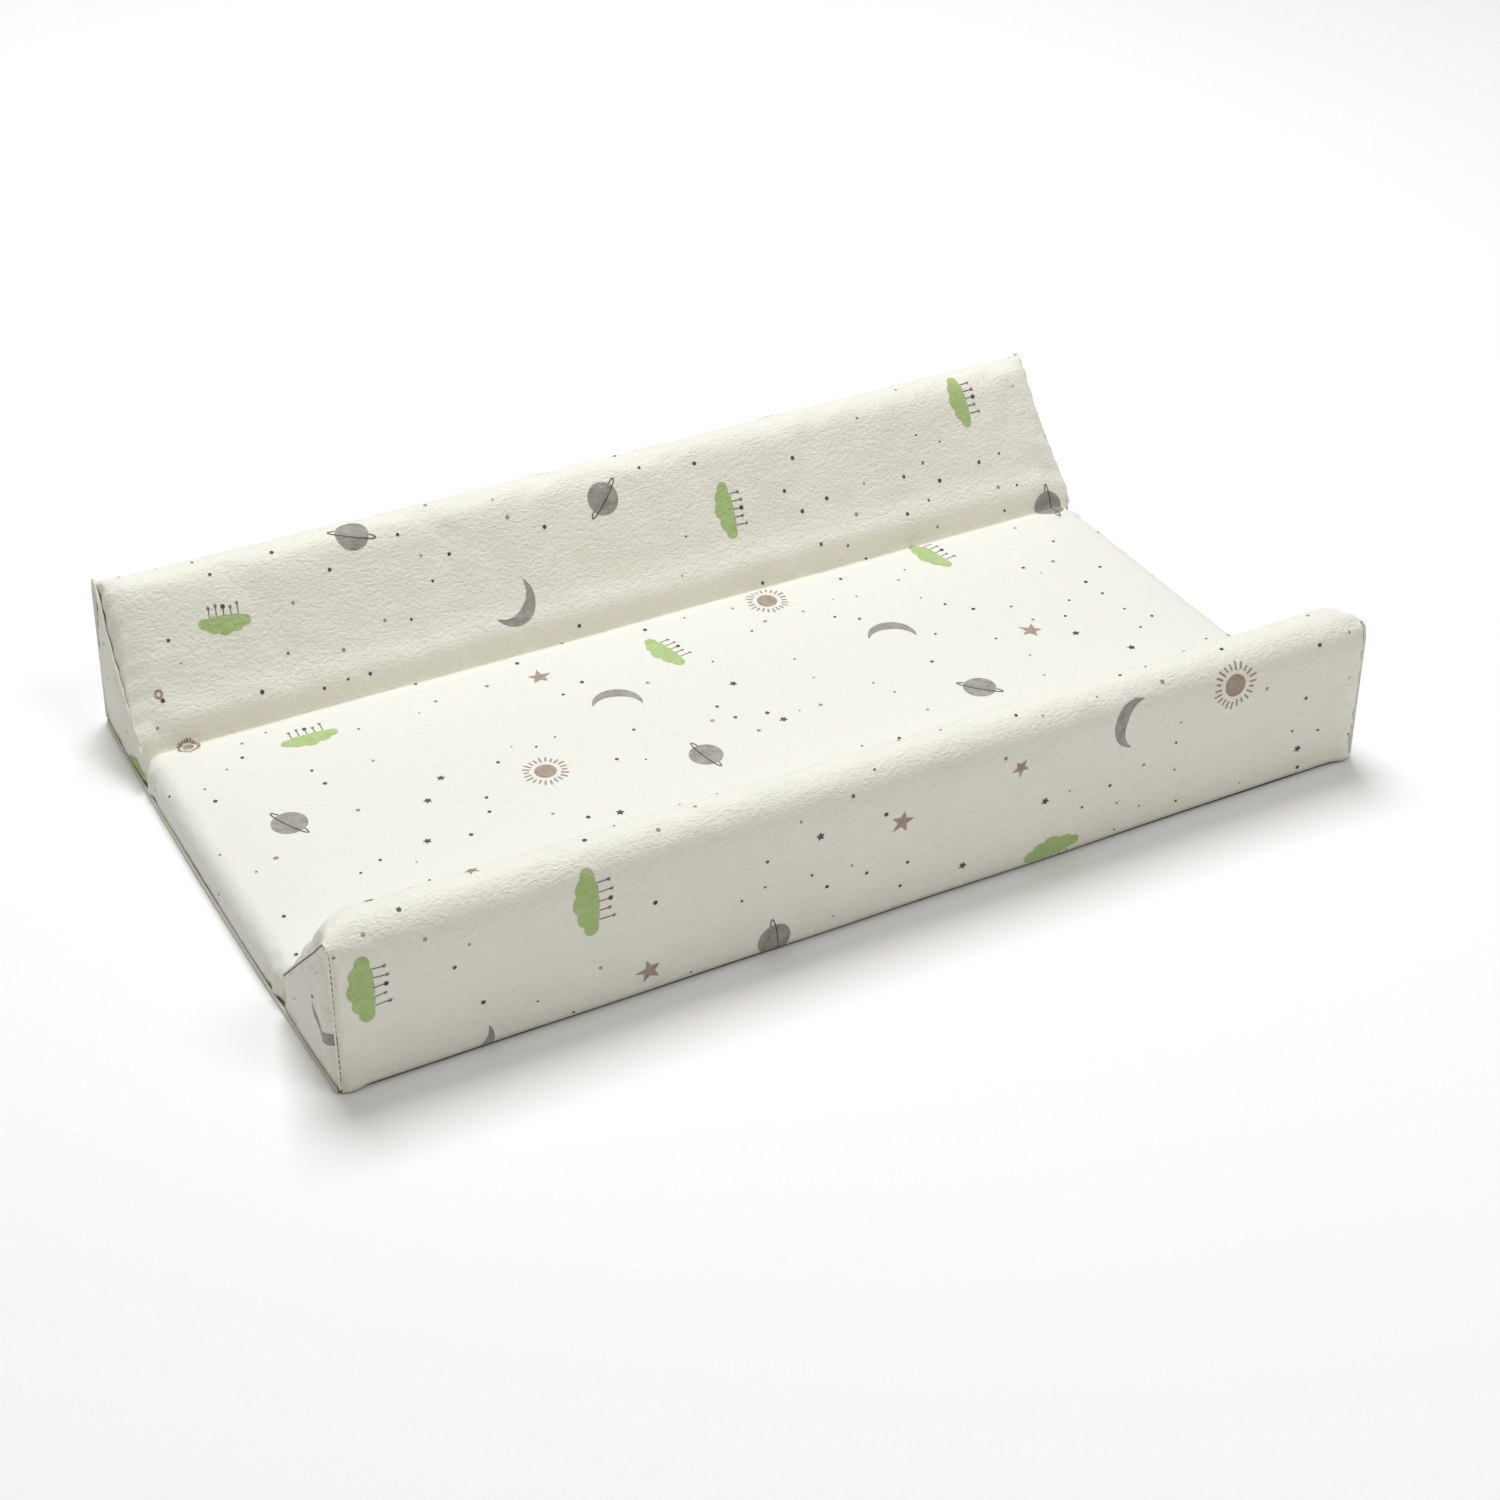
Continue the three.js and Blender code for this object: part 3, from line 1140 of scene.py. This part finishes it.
def moon_shape(bm, radius, thickness=0.52):
    def shape(along, side):
        angle = along * math.radians(98)
        thin = thickness * math.cos(along * math.pi / 2) ** 0.85
        reach = radius * (1 - thin * (1 - side) / 2)
        return Vector((reach * math.sin(angle), reach * math.cos(angle)))

    return strip(bm, 30, shape)


def rays(bm, radius):
    made = []
    for i in range(22):
        angle = 2 * math.pi * i / 22
        inner = radius * (0.66 + 0.03 * math.sin(i * 2.1))
        outer = radius * (0.95 + 0.05 * math.sin(i * 1.7))

        def shape(along, side, angle=angle, inner=inner, outer=outer):
            reach = inner + (outer - inner) * (along + 1) / 2
            out = Vector((math.cos(angle), math.sin(angle)))
            return out * reach + Vector((-out.y, out.x)) * side * 0.00070

        made += strip(bm, 2, shape)
    return made


# Places on the plan: x and v in metres, and the turn in degrees.
CLOUDS = (
    (-0.356, 0.075, 90, 1.0), (-0.210, 0.086, 90, 1.0), (-0.002, 0.463, 100, 0.9),
    (0.241, 0.491, 103, 0.9), (0.092, 0.570, 88, 0.85), (0.308, 0.6055, 92, 0.85),
    (-0.271, 0.480, 178, 0.85), (-0.300, 0.584, 173, 0.76), (0.127, 0.008, 5, 0.9),
    (-0.120, 0.700, 180, 1.0), (0.235, 0.725, 92, 0.9), (-0.330, 0.722, 86, 1.0),
    (-0.928, 0.5050, 5, 0.65), (1.045, 0.060, 20, 0.9),
)
MOONS = (
    (-0.064, 0.418, -20), (0.154, 0.405, -20), (0.188, 0.091, 72), (-0.296, 0.0075, -150),
    (-0.093, 0.5475, -140), (-0.230, 0.690, 60), (0.060, 0.700, -30), (0.350, 0.690, 100),
    (-0.9870, 0.0500, -186), (1.050, 0.545, 40),
)
SUNS = ((-0.144, 0.366, 0.90), (0.096, 0.490, 0.90), (0.268, 0.096, 0.96),
        (-0.347, 0.5075, 0.45), (0.140, 0.735, 1.0), (-0.040, 0.655, 1.0),
        (1.040, 0.020, 1.0))
PLANETS = (
    (-0.318, 0.391, -65), (-0.038, 0.333, -80), (0.174, 0.317, -46), (-0.084, 0.011, 97),
    (-0.195, 0.619, -22), (-0.004, 0.600, 45), (0.358, 0.512, 88), (0.150, 0.650, 8),
    (-0.270, 0.735, 30), (0.290, 0.655, -40),
)
STARS = (
    (-0.098, 0.475, 1.0), (0.248, 0.364, 1.0), (-0.173, 0.019, 1.0), (0.008, 0.072, 0.95),
    (0.097, 0.085, 0.75), (-0.276, 0.134, 0.55), (0.330, 0.720, 1.0), (-0.070, 0.735, 0.9),
    (0.010, 0.665, 1.0), (0.205, 0.690, 0.8), (1.030, 0.530, 1.0), (0.955, 0.080, 0.8),
)
SPECKS = ((-0.228, 0.372), (-0.246, 0.330), (-0.210, 0.392), (0.020, 0.402), (0.030, 0.346),
          (0.300, 0.310), (0.275, 0.345), (-0.120, 0.300), (0.056, 0.021), (0.118, 0.052),
          (0.328, 0.026), (-0.052, 0.081), (-0.340, 0.139))


def motifs(name, sizes):
    """Yields each motif of one ink as a bmesh laid out on the plan."""

    def laid(build, x, v, turn=0.0):
        bm = bmesh.new()
        set_down(bm, build(bm), x, v, math.radians(turn))
        return bm

    if name == "green":
        for x, v, turn, size in CLOUDS:
            yield laid(lambda bm: cloud_shape(bm, sizes.cloud * size), x, v, turn)
    if name == "grey":
        for x, v, turn in MOONS:
            yield laid(lambda bm: moon_shape(bm, sizes.moon), x, v, turn)
        for x, v, turn in PLANETS:
            yield laid(lambda bm: disc(bm, sizes.planet, 40), x, v, turn)
        for x, v, turn, size in CLOUDS:
            yield laid(lambda bm: rain_drops(bm, sizes.cloud * size, False), x, v, turn)
    if name == "taupe":
        for x, v, size in SUNS:
            yield laid(lambda bm: disc(bm, sizes.sun * size * 0.46, 32), x, v)
            yield laid(lambda bm: rays(bm, sizes.sun * size), x, v)
        yield laid(lambda bm: ring_line(bm, 0.0022, 0.0025, 0.0016, 18), -0.357, 0.548)
        for i, (x, v, size) in enumerate(STARS):
            yield laid(lambda bm: star_shape(bm, sizes.star * size), x, v, 25 + 47 * i)
    if name == "charcoal":
        for x, v in SPECKS:
            yield laid(lambda bm: star_shape(bm, 0.0032, 0.5), x, v, 31 * len(str(x)))
        for x, v, turn, size in CLOUDS:
            yield laid(lambda bm: rain(bm, sizes.cloud * size), x, v, turn)
            yield laid(lambda bm: rain_drops(bm, sizes.cloud * size, True), x, v, turn)
    yield from (laid(lambda bm, r=r: disc(bm, r, 8), x, v, turn)
                for x, v, r, turn in dots(name, sizes))


def dots(name, sizes):
    """Loose dots of one ink, scattered clear of the motifs."""
    taken = [(x, v, 0.030) for x, v, *_ in CLOUDS + MOONS + PLANETS]
    taken += [(x, v, 0.024) for x, v, _ in SUNS]
    taken += [(x, v, 0.015) for x, v, _ in STARS]
    taken += [(x, v, 0.012) for x, v in SPECKS]
    inks = ("charcoal", "charcoal", "grey", "charcoal", "taupe", "charcoal")
    dice = random.Random(20)
    for i in range(sizes.dots):
        x = dice.uniform(-0.395, 0.395)
        v = dice.uniform(0.004, 0.753)
        radius = sizes.dot * dice.choice((0.6, 0.75, 0.9, 1.0, 1.15))
        turn = dice.uniform(0, 360)
        if any(math.hypot(x - a, v - b) < near for a, b, near in taken):
            continue
        taken.append((x, v, 0.015))
        if inks[i % len(inks)] == name:
            yield x, v, radius, turn
    for i, (side, end) in enumerate((s, e) for _, s in SIDES for _, e in ENDS):
        home = gusset_home(side, end)
        for j, (x, v) in enumerate(((0.030, 0.055), (0.022, 0.078), (0.062, 0.030))):
            if inks[(i + j) % len(inks)] == name:
                yield home[0] + x, home[1] + v, sizes.dot * 0.85, 0.0


def cut_along(bm, columns, rows):
    """Cuts flat faces where the cover's own lines run, so that they can follow it."""
    for axis, lines in ((0, columns), (1, rows)):
        low = min(vertex.co[axis] for vertex in bm.verts)
        high = max(vertex.co[axis] for vertex in bm.verts)
        normal = Vector((1, 0, 0)) if axis == 0 else Vector((0, 1, 0))
        for line in lines:
            if low < line < high:
                geometry = [*bm.verts, *bm.edges, *bm.faces]
                bmesh.ops.bisect_plane(
                    bm, geom=geometry, dist=1e-7, plane_co=normal * line, plane_no=normal
                )


def gather(whole, bm, plan, columns, rows):
    """Adds a flat motif to its ink, cut along the sheets' lines and at their edges."""
    cut_along(bm, columns, rows)
    lost = [face for face in bm.faces if not plan.covers(face.calc_center_median())]
    bmesh.ops.delete(bm, geom=lost, context="FACES")
    map_flat(bm)
    part = to_mesh(bm, "motif")
    whole.from_mesh(part)
    bpy.data.meshes.remove(part)


def print_mesh(name, sizes, plan, columns, rows, height):
    """All motifs of one ink, lifted from the plan on to the pad."""
    whole = bmesh.new()
    whole.loops.layers.uv.new(SHEET_UV)
    fine = [0.003 * i for i in range(-10, 240)]
    for bm in motifs(name, sizes):
        bmesh.ops.triangulate(bm, faces=bm.faces[:])
        on_sheet = max(abs(vertex.co.x) for vertex in bm.verts) < 0.6
        if on_sheet:
            gather(whole, bm, plan, columns, rows)
        else:
            start = math.floor(min(vertex.co.x for vertex in bm.verts) * 10) / 10
            gather(whole, bm, plan, [start + step for step in fine], fine)
    for vertex in whole.verts:
        vertex.co = plan.lift(vertex.co, height)
    bmesh.ops.dissolve_degenerate(whole, dist=1e-6, edges=whole.edges[:])
    return to_mesh(whole, name)


# Operators


class CHANGINGPAD_OT_cover(Operator):
    """Builds the printed cover over both wedges and the middle"""

    bl_idname = "changing_pad.cover"
    bl_label = "Printed Cover"

    def execute(self, context):
        pattern = Pattern(context.scene.pad_sizes)
        colours = context.scene.pad_colours
        piece = new_piece(
            "printed_cover",
            cover_mesh(pattern),
            finished("ivory_coated_fabric", lambda: ivory_sheet(colours)),
            "printed_sheet",
            "top_cover",
        )
        with_thickness(piece, pattern.sizes.sheet)
        return {"FINISHED"}


class CHANGINGPAD_OT_gussets(Operator):
    """Builds the four end panels of the wedges"""

    bl_idname = "changing_pad.gussets"
    bl_label = "End Gussets"

    def execute(self, context):
        pattern = Pattern(context.scene.pad_sizes)
        colours = context.scene.pad_colours
        for side_name, side in SIDES:
            for end_name, end in ENDS:
                node = f"{side_name}_{end_name}_gusset"
                piece = new_piece(
                    node + "_panel",
                    gusset_mesh(pattern, side, end),
                    finished("ivory_coated_fabric", lambda: ivory_sheet(colours)),
                    "printed_sheet",
                    node,
                )
                with_thickness(piece, pattern.sizes.sheet)
        return {"FINISHED"}


class CHANGINGPAD_OT_seams(Operator):
    """Builds the folded seam edges and their rows of stitches"""

    bl_idname = "changing_pad.seams"
    bl_label = "Seams and Stitches"

    def execute(self, context):
        pattern = Pattern(context.scene.pad_sizes)
        seams = context.scene.pad_seams
        colours = context.scene.pad_colours
        for side_name, side in SIDES:
            for end_name, end in ENDS:
                name = f"{side_name}_{end_name}"
                welt = seams.front_welt if side < 0 else seams.rear_welt
                path = seam_path(pattern, side, end, welt + 0.0003, -SEAM_EDGE_DEPTH[end])
                points = [at for at, _ in evenly(path, 0.004)]
                bm = swept([path[0], *points, path[-1]], welt)
                flat_map_by_place(bm)
                new_piece(
                    name + "_seam_edge",
                    to_mesh(bm, name),
                    finished("ivory_coated_fabric", lambda: ivory_sheet(colours)),
                    "printed_sheet",
                )
                panel = bpy.data.objects[name + "_gusset_panel"]
                new_piece(
                    name + "_stitches",
                    self.stitches(pattern, seams, panel, side, end),
                    finished("sewing_thread", lambda: sewing_thread(colours)),
                    "sewing_thread",
                    name + "_slope_thread",
                    name + "_corner_thread",
                )
        return {"FINISHED"}

    def stitches(self, pattern, seams, panel, side, end):
        """One row of stitches, laid on the panel a little in from its seam."""
        graph = bpy.context.evaluated_depsgraph_get()
        surface = BVHTree.FromObject(panel, graph)
        bm = bmesh.new()
        thread = seams.front_thread if side < 0 else seams.rear_thread
        welt = seams.front_welt if side < 0 else seams.rear_welt
        path = seam_path(pattern, side, end, 2 * welt + seams.inset, 0.0)
        for at, run in evenly(path, seams.pitch):
            outside = Vector((end * 0.45, at.y, at.z))
            hit, normal, _, _ = surface.ray_cast(outside, Vector((-end, 0, 0)))
            if hit is None:
                continue
            along = (run - normal * run.dot(normal)).normalized()
            turn = Matrix((along, normal.cross(along), normal)).transposed().to_4x4()
            size = Matrix.Diagonal((seams.stitch / 2, thread / 2, thread / 2, 1))
            place = Matrix.Translation(hit + normal * thread * 0.15)
            bmesh.ops.create_icosphere(
                bm, subdivisions=2, radius=1, matrix=place @ turn @ size
            )
        return to_mesh(bm, "stitches")


class CHANGINGPAD_OT_print(Operator):
    """Prints the clouds, moons, planets, suns, stars and dots on the sheets"""

    bl_idname = "changing_pad.print"
    bl_label = "Print"

    def execute(self, context):
        pattern = Pattern(context.scene.pad_sizes)
        sizes = context.scene.pad_print
        colours = context.scene.pad_colours
        names = ["printed_cover"]
        names += [f"{s}_{e}_gusset_panel" for s, _ in SIDES for e, _ in ENDS]
        plan = Plan([bpy.data.objects[name] for name in names])
        columns, rows = (halved(places) for places in cover_stations(pattern))
        inks = (
            ("green", colours.green, 0.55, 1.0),
            ("grey", colours.grey, 0.75, 1.0),
            ("taupe", colours.taupe, 0.60, 1.0),
            ("charcoal", colours.charcoal, 0.25, 1.6),
        )
        for name, tone, mottle, layer in inks:
            height = sizes.film * layer
            mesh = print_mesh(name, sizes, plan, columns, rows, height)
            material = ink(colours, name + "_ink", tuple(tone), mottle)
            new_piece("print_" + name, mesh, material, "printed_sheet")
        rings = self.rings(sizes, plan, columns, rows)
        material = bpy.data.materials["charcoal_ink"]
        new_piece("print_planet_rings", rings, material, "printed_sheet")
        return {"FINISHED"}

    def rings(self, sizes, plan, columns, rows):
        """Thin rings round the planets, passing over them on one side only."""
        whole = bmesh.new()
        whole.loops.layers.uv.new(SHEET_UV)
        for x, v, turn in PLANETS:
            bm = bmesh.new()
            radius = sizes.planet
            made = ring_line(bm, radius * 1.42, radius * 0.20, 0.0008, 72)
            behind = [
                face
                for face in bm.faces
                if face.calc_center_median().y > 0
                and face.calc_center_median().length < radius * 1.02
            ]
            bmesh.ops.delete(bm, geom=behind, context="FACES")
            left = [vertex for vertex in made if vertex.is_valid]
            set_down(bm, left, x, v, math.radians(turn))
            bmesh.ops.triangulate(bm, faces=bm.faces[:])
            gather(whole, bm, plan, columns, rows)
        for vertex in whole.verts:
            vertex.co = plan.lift(vertex.co, sizes.film * 2.2)
        return to_mesh(whole, "rings")


class CHANGINGPAD_OT_base(Operator):
    """Builds the plain base sheet with its turned-up edge, and finishes the board"""

    bl_idname = "changing_pad.base"
    bl_label = "Base"

    def execute(self, context):
        pattern = Pattern(context.scene.pad_sizes)
        colours = context.scene.pad_colours
        half_long, half_wide, tall = BASE_HIGH.x - 0.0002, BASE_HIGH.y - 0.0003, BASE_HIGH.z
        bm = bmesh.new()
        bmesh.ops.create_grid(bm, x_segments=1, y_segments=1, size=1)
        bmesh.ops.scale(bm, vec=(half_long, half_wide, 1), verts=bm.verts[:])
        bmesh.ops.bevel(
            bm,
            geom=bm.verts[:],
            offset=0.004,
            affect="VERTICES",
            segments=5,
            profile=0.5,
            material=-1,
        )
        long_edges = [edge for edge in bm.edges if edge.calc_length() > 0.1]
        bmesh.ops.subdivide_edges(bm, edges=long_edges, cuts=47)
        rim = [edge for edge in bm.edges if edge.is_boundary]
        grown = bmesh.ops.extrude_edge_only(bm, edges=rim)["geom"]
        top = [item for item in grown if isinstance(item, bmesh.types.BMVert)]
        bmesh.ops.translate(bm, vec=(0, 0, tall), verts=top)
        corners = [
            edge
            for edge in bm.edges
            if not edge.is_boundary and all(v.co.z < 1e-6 for v in edge.verts)
        ]
        bmesh.ops.bevel(
            bm,
            geom=corners,
            offset=0.0009,
            affect="EDGES",
            segments=3,
            profile=0.5,
            material=-1,
        )
        bmesh.ops.recalc_face_normals(bm, faces=bm.faces[:])
        bmesh.ops.triangulate(bm, faces=[f for f in bm.faces if len(f.verts) > 4])
        for vertex in bm.verts:
            at = vertex.co
            if abs(at.x) > half_long - 0.01:
                inward = pattern.sizes.half_width - abs(at.y)
                waver = 0.0003 * noise.noise(Vector((at.x, at.y * 14, 3.0)))
                at.x += math.copysign(pattern.bow(inward, at.x) + waver, at.x)
        piece = new_piece(
            "base_sheet",
            to_mesh(bm, "base"),
            finished("plain_base_fabric", lambda: base_fabric(colours)),
            "base_sheet",
            "base_cover",
        )
        with_thickness(piece, 0.001)
        board = frame["nodes"]["base_board"]
        board.data.materials.clear()
        board.data.materials.append(
            finished("pressed_fibre_board", lambda: pressed_board(colours))
        )
        return {"FINISHED"}


class CHANGINGPAD_OT_filling(Operator):
    """Builds the three foam blocks inside the cover"""

    bl_idname = "changing_pad.filling"
    bl_label = "Foam Filling"

    def execute(self, context):
        pattern = Pattern(context.scene.pad_sizes)
        colours = context.scene.pad_colours
        for side_name, side in SIDES:
            self.block(side_name + "_wedge_foam", self.wedge(pattern, side), colours)
        self.block("middle_foam", self.middle(pattern), colours)
        return {"FINISHED"}

    def block(self, node, bm, colours):
        material = finished("open_cell_foam", lambda: open_foam(colours))
        piece = new_piece(node + "_block", to_mesh(bm, node), material, "foam", node)

    def wedge(self, pattern, side):
        """A foam wedge: a ring of its section at each station, drawn along the pad."""
        sizes = pattern.sizes
        inset = 0.0045
        rim = stations((
            (pattern.hem + 0.006, pattern.arc_from, 4),
            (pattern.arc_from, pattern.slope_from, 8),
            (pattern.slope_from, pattern.foot - 0.006, 6),
        ))
        reach = sizes.end_wall - 0.006
        places = stations(((-reach, 0.04 - reach, 6), (0.04 - reach, reach - 0.04, 24),
                           (reach - 0.04, reach, 6)))
        bm = bmesh.new()
        bmesh.ops.create_grid(bm, x_segments=len(places) - 1, y_segments=len(rim) + 1, size=1)
        middle = Vector((0, side * (sizes.half_width - 0.036), 0.040))
        for vertex in bm.verts:
            i = round((vertex.co.x + 1) / 2 * (len(places) - 1))
            j = round((vertex.co.y + 1) / 2 * (len(rim) + 1))
            x = places[i]
            if j < len(rim):
                v = rim[j] if side < 0 else 2 * pattern.half - rim[j]
                at = pattern.place(x, v)
            else:
                inward = sizes.wedge_base - 0.004 if j == len(rim) else inset
                at = Vector((x, side * (sizes.half_width - inward), BASE_HIGH.z + 0.0002))
            at.x = x
            towards = (middle - at) * Vector((0, 1, 1))
            if j < len(rim):
                at += towards.normalized() * inset
            at.z = max(at.z, BASE_HIGH.z + 0.0002)
            vertex.co = at
        bmesh.ops.remove_doubles(bm, verts=bm.verts[:], dist=1e-5)
        self.close(bm)
        return bm

    def middle(self, pattern):
        """The flat foam slab, eased at its ends."""
        sizes = pattern.sizes
        low = BASE_HIGH.z + 0.0002
        high = MIDDLE_HIGH.z - 0.0035
        bm = bmesh.new()
        bmesh.ops.create_cube(bm, size=1)
        half_wide = sizes.half_width - sizes.wedge_base - 0.001
        scale = (2 * (sizes.end_wall - 0.004), 2 * half_wide, high - low)
        bmesh.ops.scale(bm, vec=scale, verts=bm.verts[:])
        bmesh.ops.translate(bm, vec=(0, 0, (high + low) / 2), verts=bm.verts[:])
        upper = [edge for edge in bm.edges if all(v.co.z > high - 1e-5 for v in edge.verts)]
        ends = [edge for edge in upper if abs(edge.verts[0].co.x - edge.verts[1].co.x) < 1e-5]
        bmesh.ops.bevel(
            bm,
            geom=ends,
            offset=0.008,
            affect="EDGES",
            segments=6,
            profile=0.5,
            material=-1,
        )
        return bm

    def close(self, bm):
        """Joins the ring along its open side and caps both ends."""
        rim = [edge for edge in bm.edges if edge.is_boundary]
        lengthwise = [
            edge
            for edge in rim
            if abs(edge.verts[0].co.x - edge.verts[1].co.x) > 1e-5
        ]
        bmesh.ops.bridge_loops(bm, edges=lengthwise)
        bmesh.ops.holes_fill(bm, edges=bm.edges[:], sides=0)
        bmesh.ops.recalc_face_normals(bm, faces=bm.faces[:])


class CHANGINGPAD_OT_stage(Operator):
    """Sets the floor, the soft lights and the camera"""

    bl_idname = "changing_pad.stage"
    bl_label = "Stage"

    def execute(self, context):
        scene = context.scene
        bm = bmesh.new()
        bmesh.ops.create_grid(bm, x_segments=8, y_segments=8, size=5)
        floor = bpy.data.objects.new("floor", to_mesh(bm, "floor"))
        floor.data.materials.append(studio_floor(scene.pad_colours))
        scene.collection.objects.link(floor)
        self.area_light(scene, "overhead", (0.2, 1.15, 3.25), (0, 0, 0), 1.6, 97)
        self.area_light(scene, "front", (0.9, -1.9, 2.9), (0, 0, 0), 1.2, 25)
        self.dome(scene, 0.25)
        self.camera(scene)
        scene.view_settings.view_transform = "Standard"
        scene.view_settings.look = "None"
        return {"FINISHED"}

    def area_light(self, scene, name, place, target, size, power):
        lamp = bpy.data.lights.new(name, "AREA")
        lamp.shape = "SQUARE"
        lamp.size = size
        lamp.energy = power
        lamp.color = (0.962, 0.98, 1.0)
        light = bpy.data.objects.new(name, lamp)
        light.location = place
        aim = Vector(target) - Vector(place)
        light.rotation_euler = aim.to_track_quat("-Z", "Y").to_euler()
        scene.collection.objects.link(light)

    def dome(self, scene, strength):
        world = bpy.data.worlds.new("dome")
        world.use_nodes = True
        background = world.node_tree.nodes["Background"]
        background.inputs["Color"].default_value = (1.0, 0.95, 0.84, 1.0)
        background.inputs["Strength"].default_value = strength
        scene.world = world

    def camera(self, scene):
        azimuth = math.radians(-28.903)
        elevation = math.radians(34.813)
        roll = math.radians(0.749)
        back = Vector((
            math.sin(azimuth) * math.cos(elevation),
            -math.cos(azimuth) * math.cos(elevation),
            math.sin(elevation),
        ))
        right = Vector((math.cos(azimuth), math.sin(azimuth), 0))
        up = back.cross(right)
        level_right = right * math.cos(roll) + up * math.sin(roll)
        level_up = up * math.cos(roll) - right * math.sin(roll)
        lens = bpy.data.cameras.new("camera")
        lens.lens = 66.396
        lens.sensor_width = 36
        lens.clip_start = 0.05
        camera = bpy.data.objects.new("camera", lens)
        turn = Matrix((level_right, level_up, back)).transposed().to_4x4()
        camera.matrix_world = Matrix.Translation((-0.7644, -1.4232, 1.1148)) @ turn
        scene.collection.objects.link(camera)
        scene.camera = camera


OPERATORS = (
    CHANGINGPAD_OT_stage,
    CHANGINGPAD_OT_base,
    CHANGINGPAD_OT_filling,
    CHANGINGPAD_OT_cover,
    CHANGINGPAD_OT_gussets,
    CHANGINGPAD_OT_seams,
    CHANGINGPAD_OT_print,
)
GROUPS = (
    ("pad_sizes", PadSizes),
    ("pad_seams", SeamSizes),
    ("pad_print", PrintSizes),
    ("pad_colours", PadColours),
)


class CHANGINGPAD_PT_sidebar(Panel):
    """Lists the pad's sizes and colours, and a button for each group of pieces"""

    bl_idname = "CHANGINGPAD_PT_sidebar"
    bl_label = "Changing Pad"
    bl_space_type = "VIEW_3D"
    bl_region_type = "UI"
    bl_category = "Changing Pad"

    def draw(self, context):
        for name, group in GROUPS:
            box = self.layout.box()
            for field in group.__annotations__:
                box.prop(getattr(context.scene, name), field)
        for operator in OPERATORS:
            self.layout.operator(operator.bl_idname)


def register():
    for _, group in GROUPS:
        bpy.utils.register_class(group)
    for cls in (*OPERATORS, CHANGINGPAD_PT_sidebar):
        bpy.utils.register_class(cls)
    for name, group in GROUPS:
        setattr(bpy.types.Scene, name, PointerProperty(type=group))


def unregister():
    for name, _ in GROUPS:
        delattr(bpy.types.Scene, name)
    for cls in (CHANGINGPAD_PT_sidebar, *reversed(OPERATORS)):
        bpy.utils.unregister_class(cls)
    for _, group in GROUPS:
        bpy.utils.unregister_class(group)


def main():
    register()
    for operator in OPERATORS:
        area, action = operator.bl_idname.split(".")
        getattr(getattr(bpy.ops, area), action)()


if __name__ == "__main__":
    main()
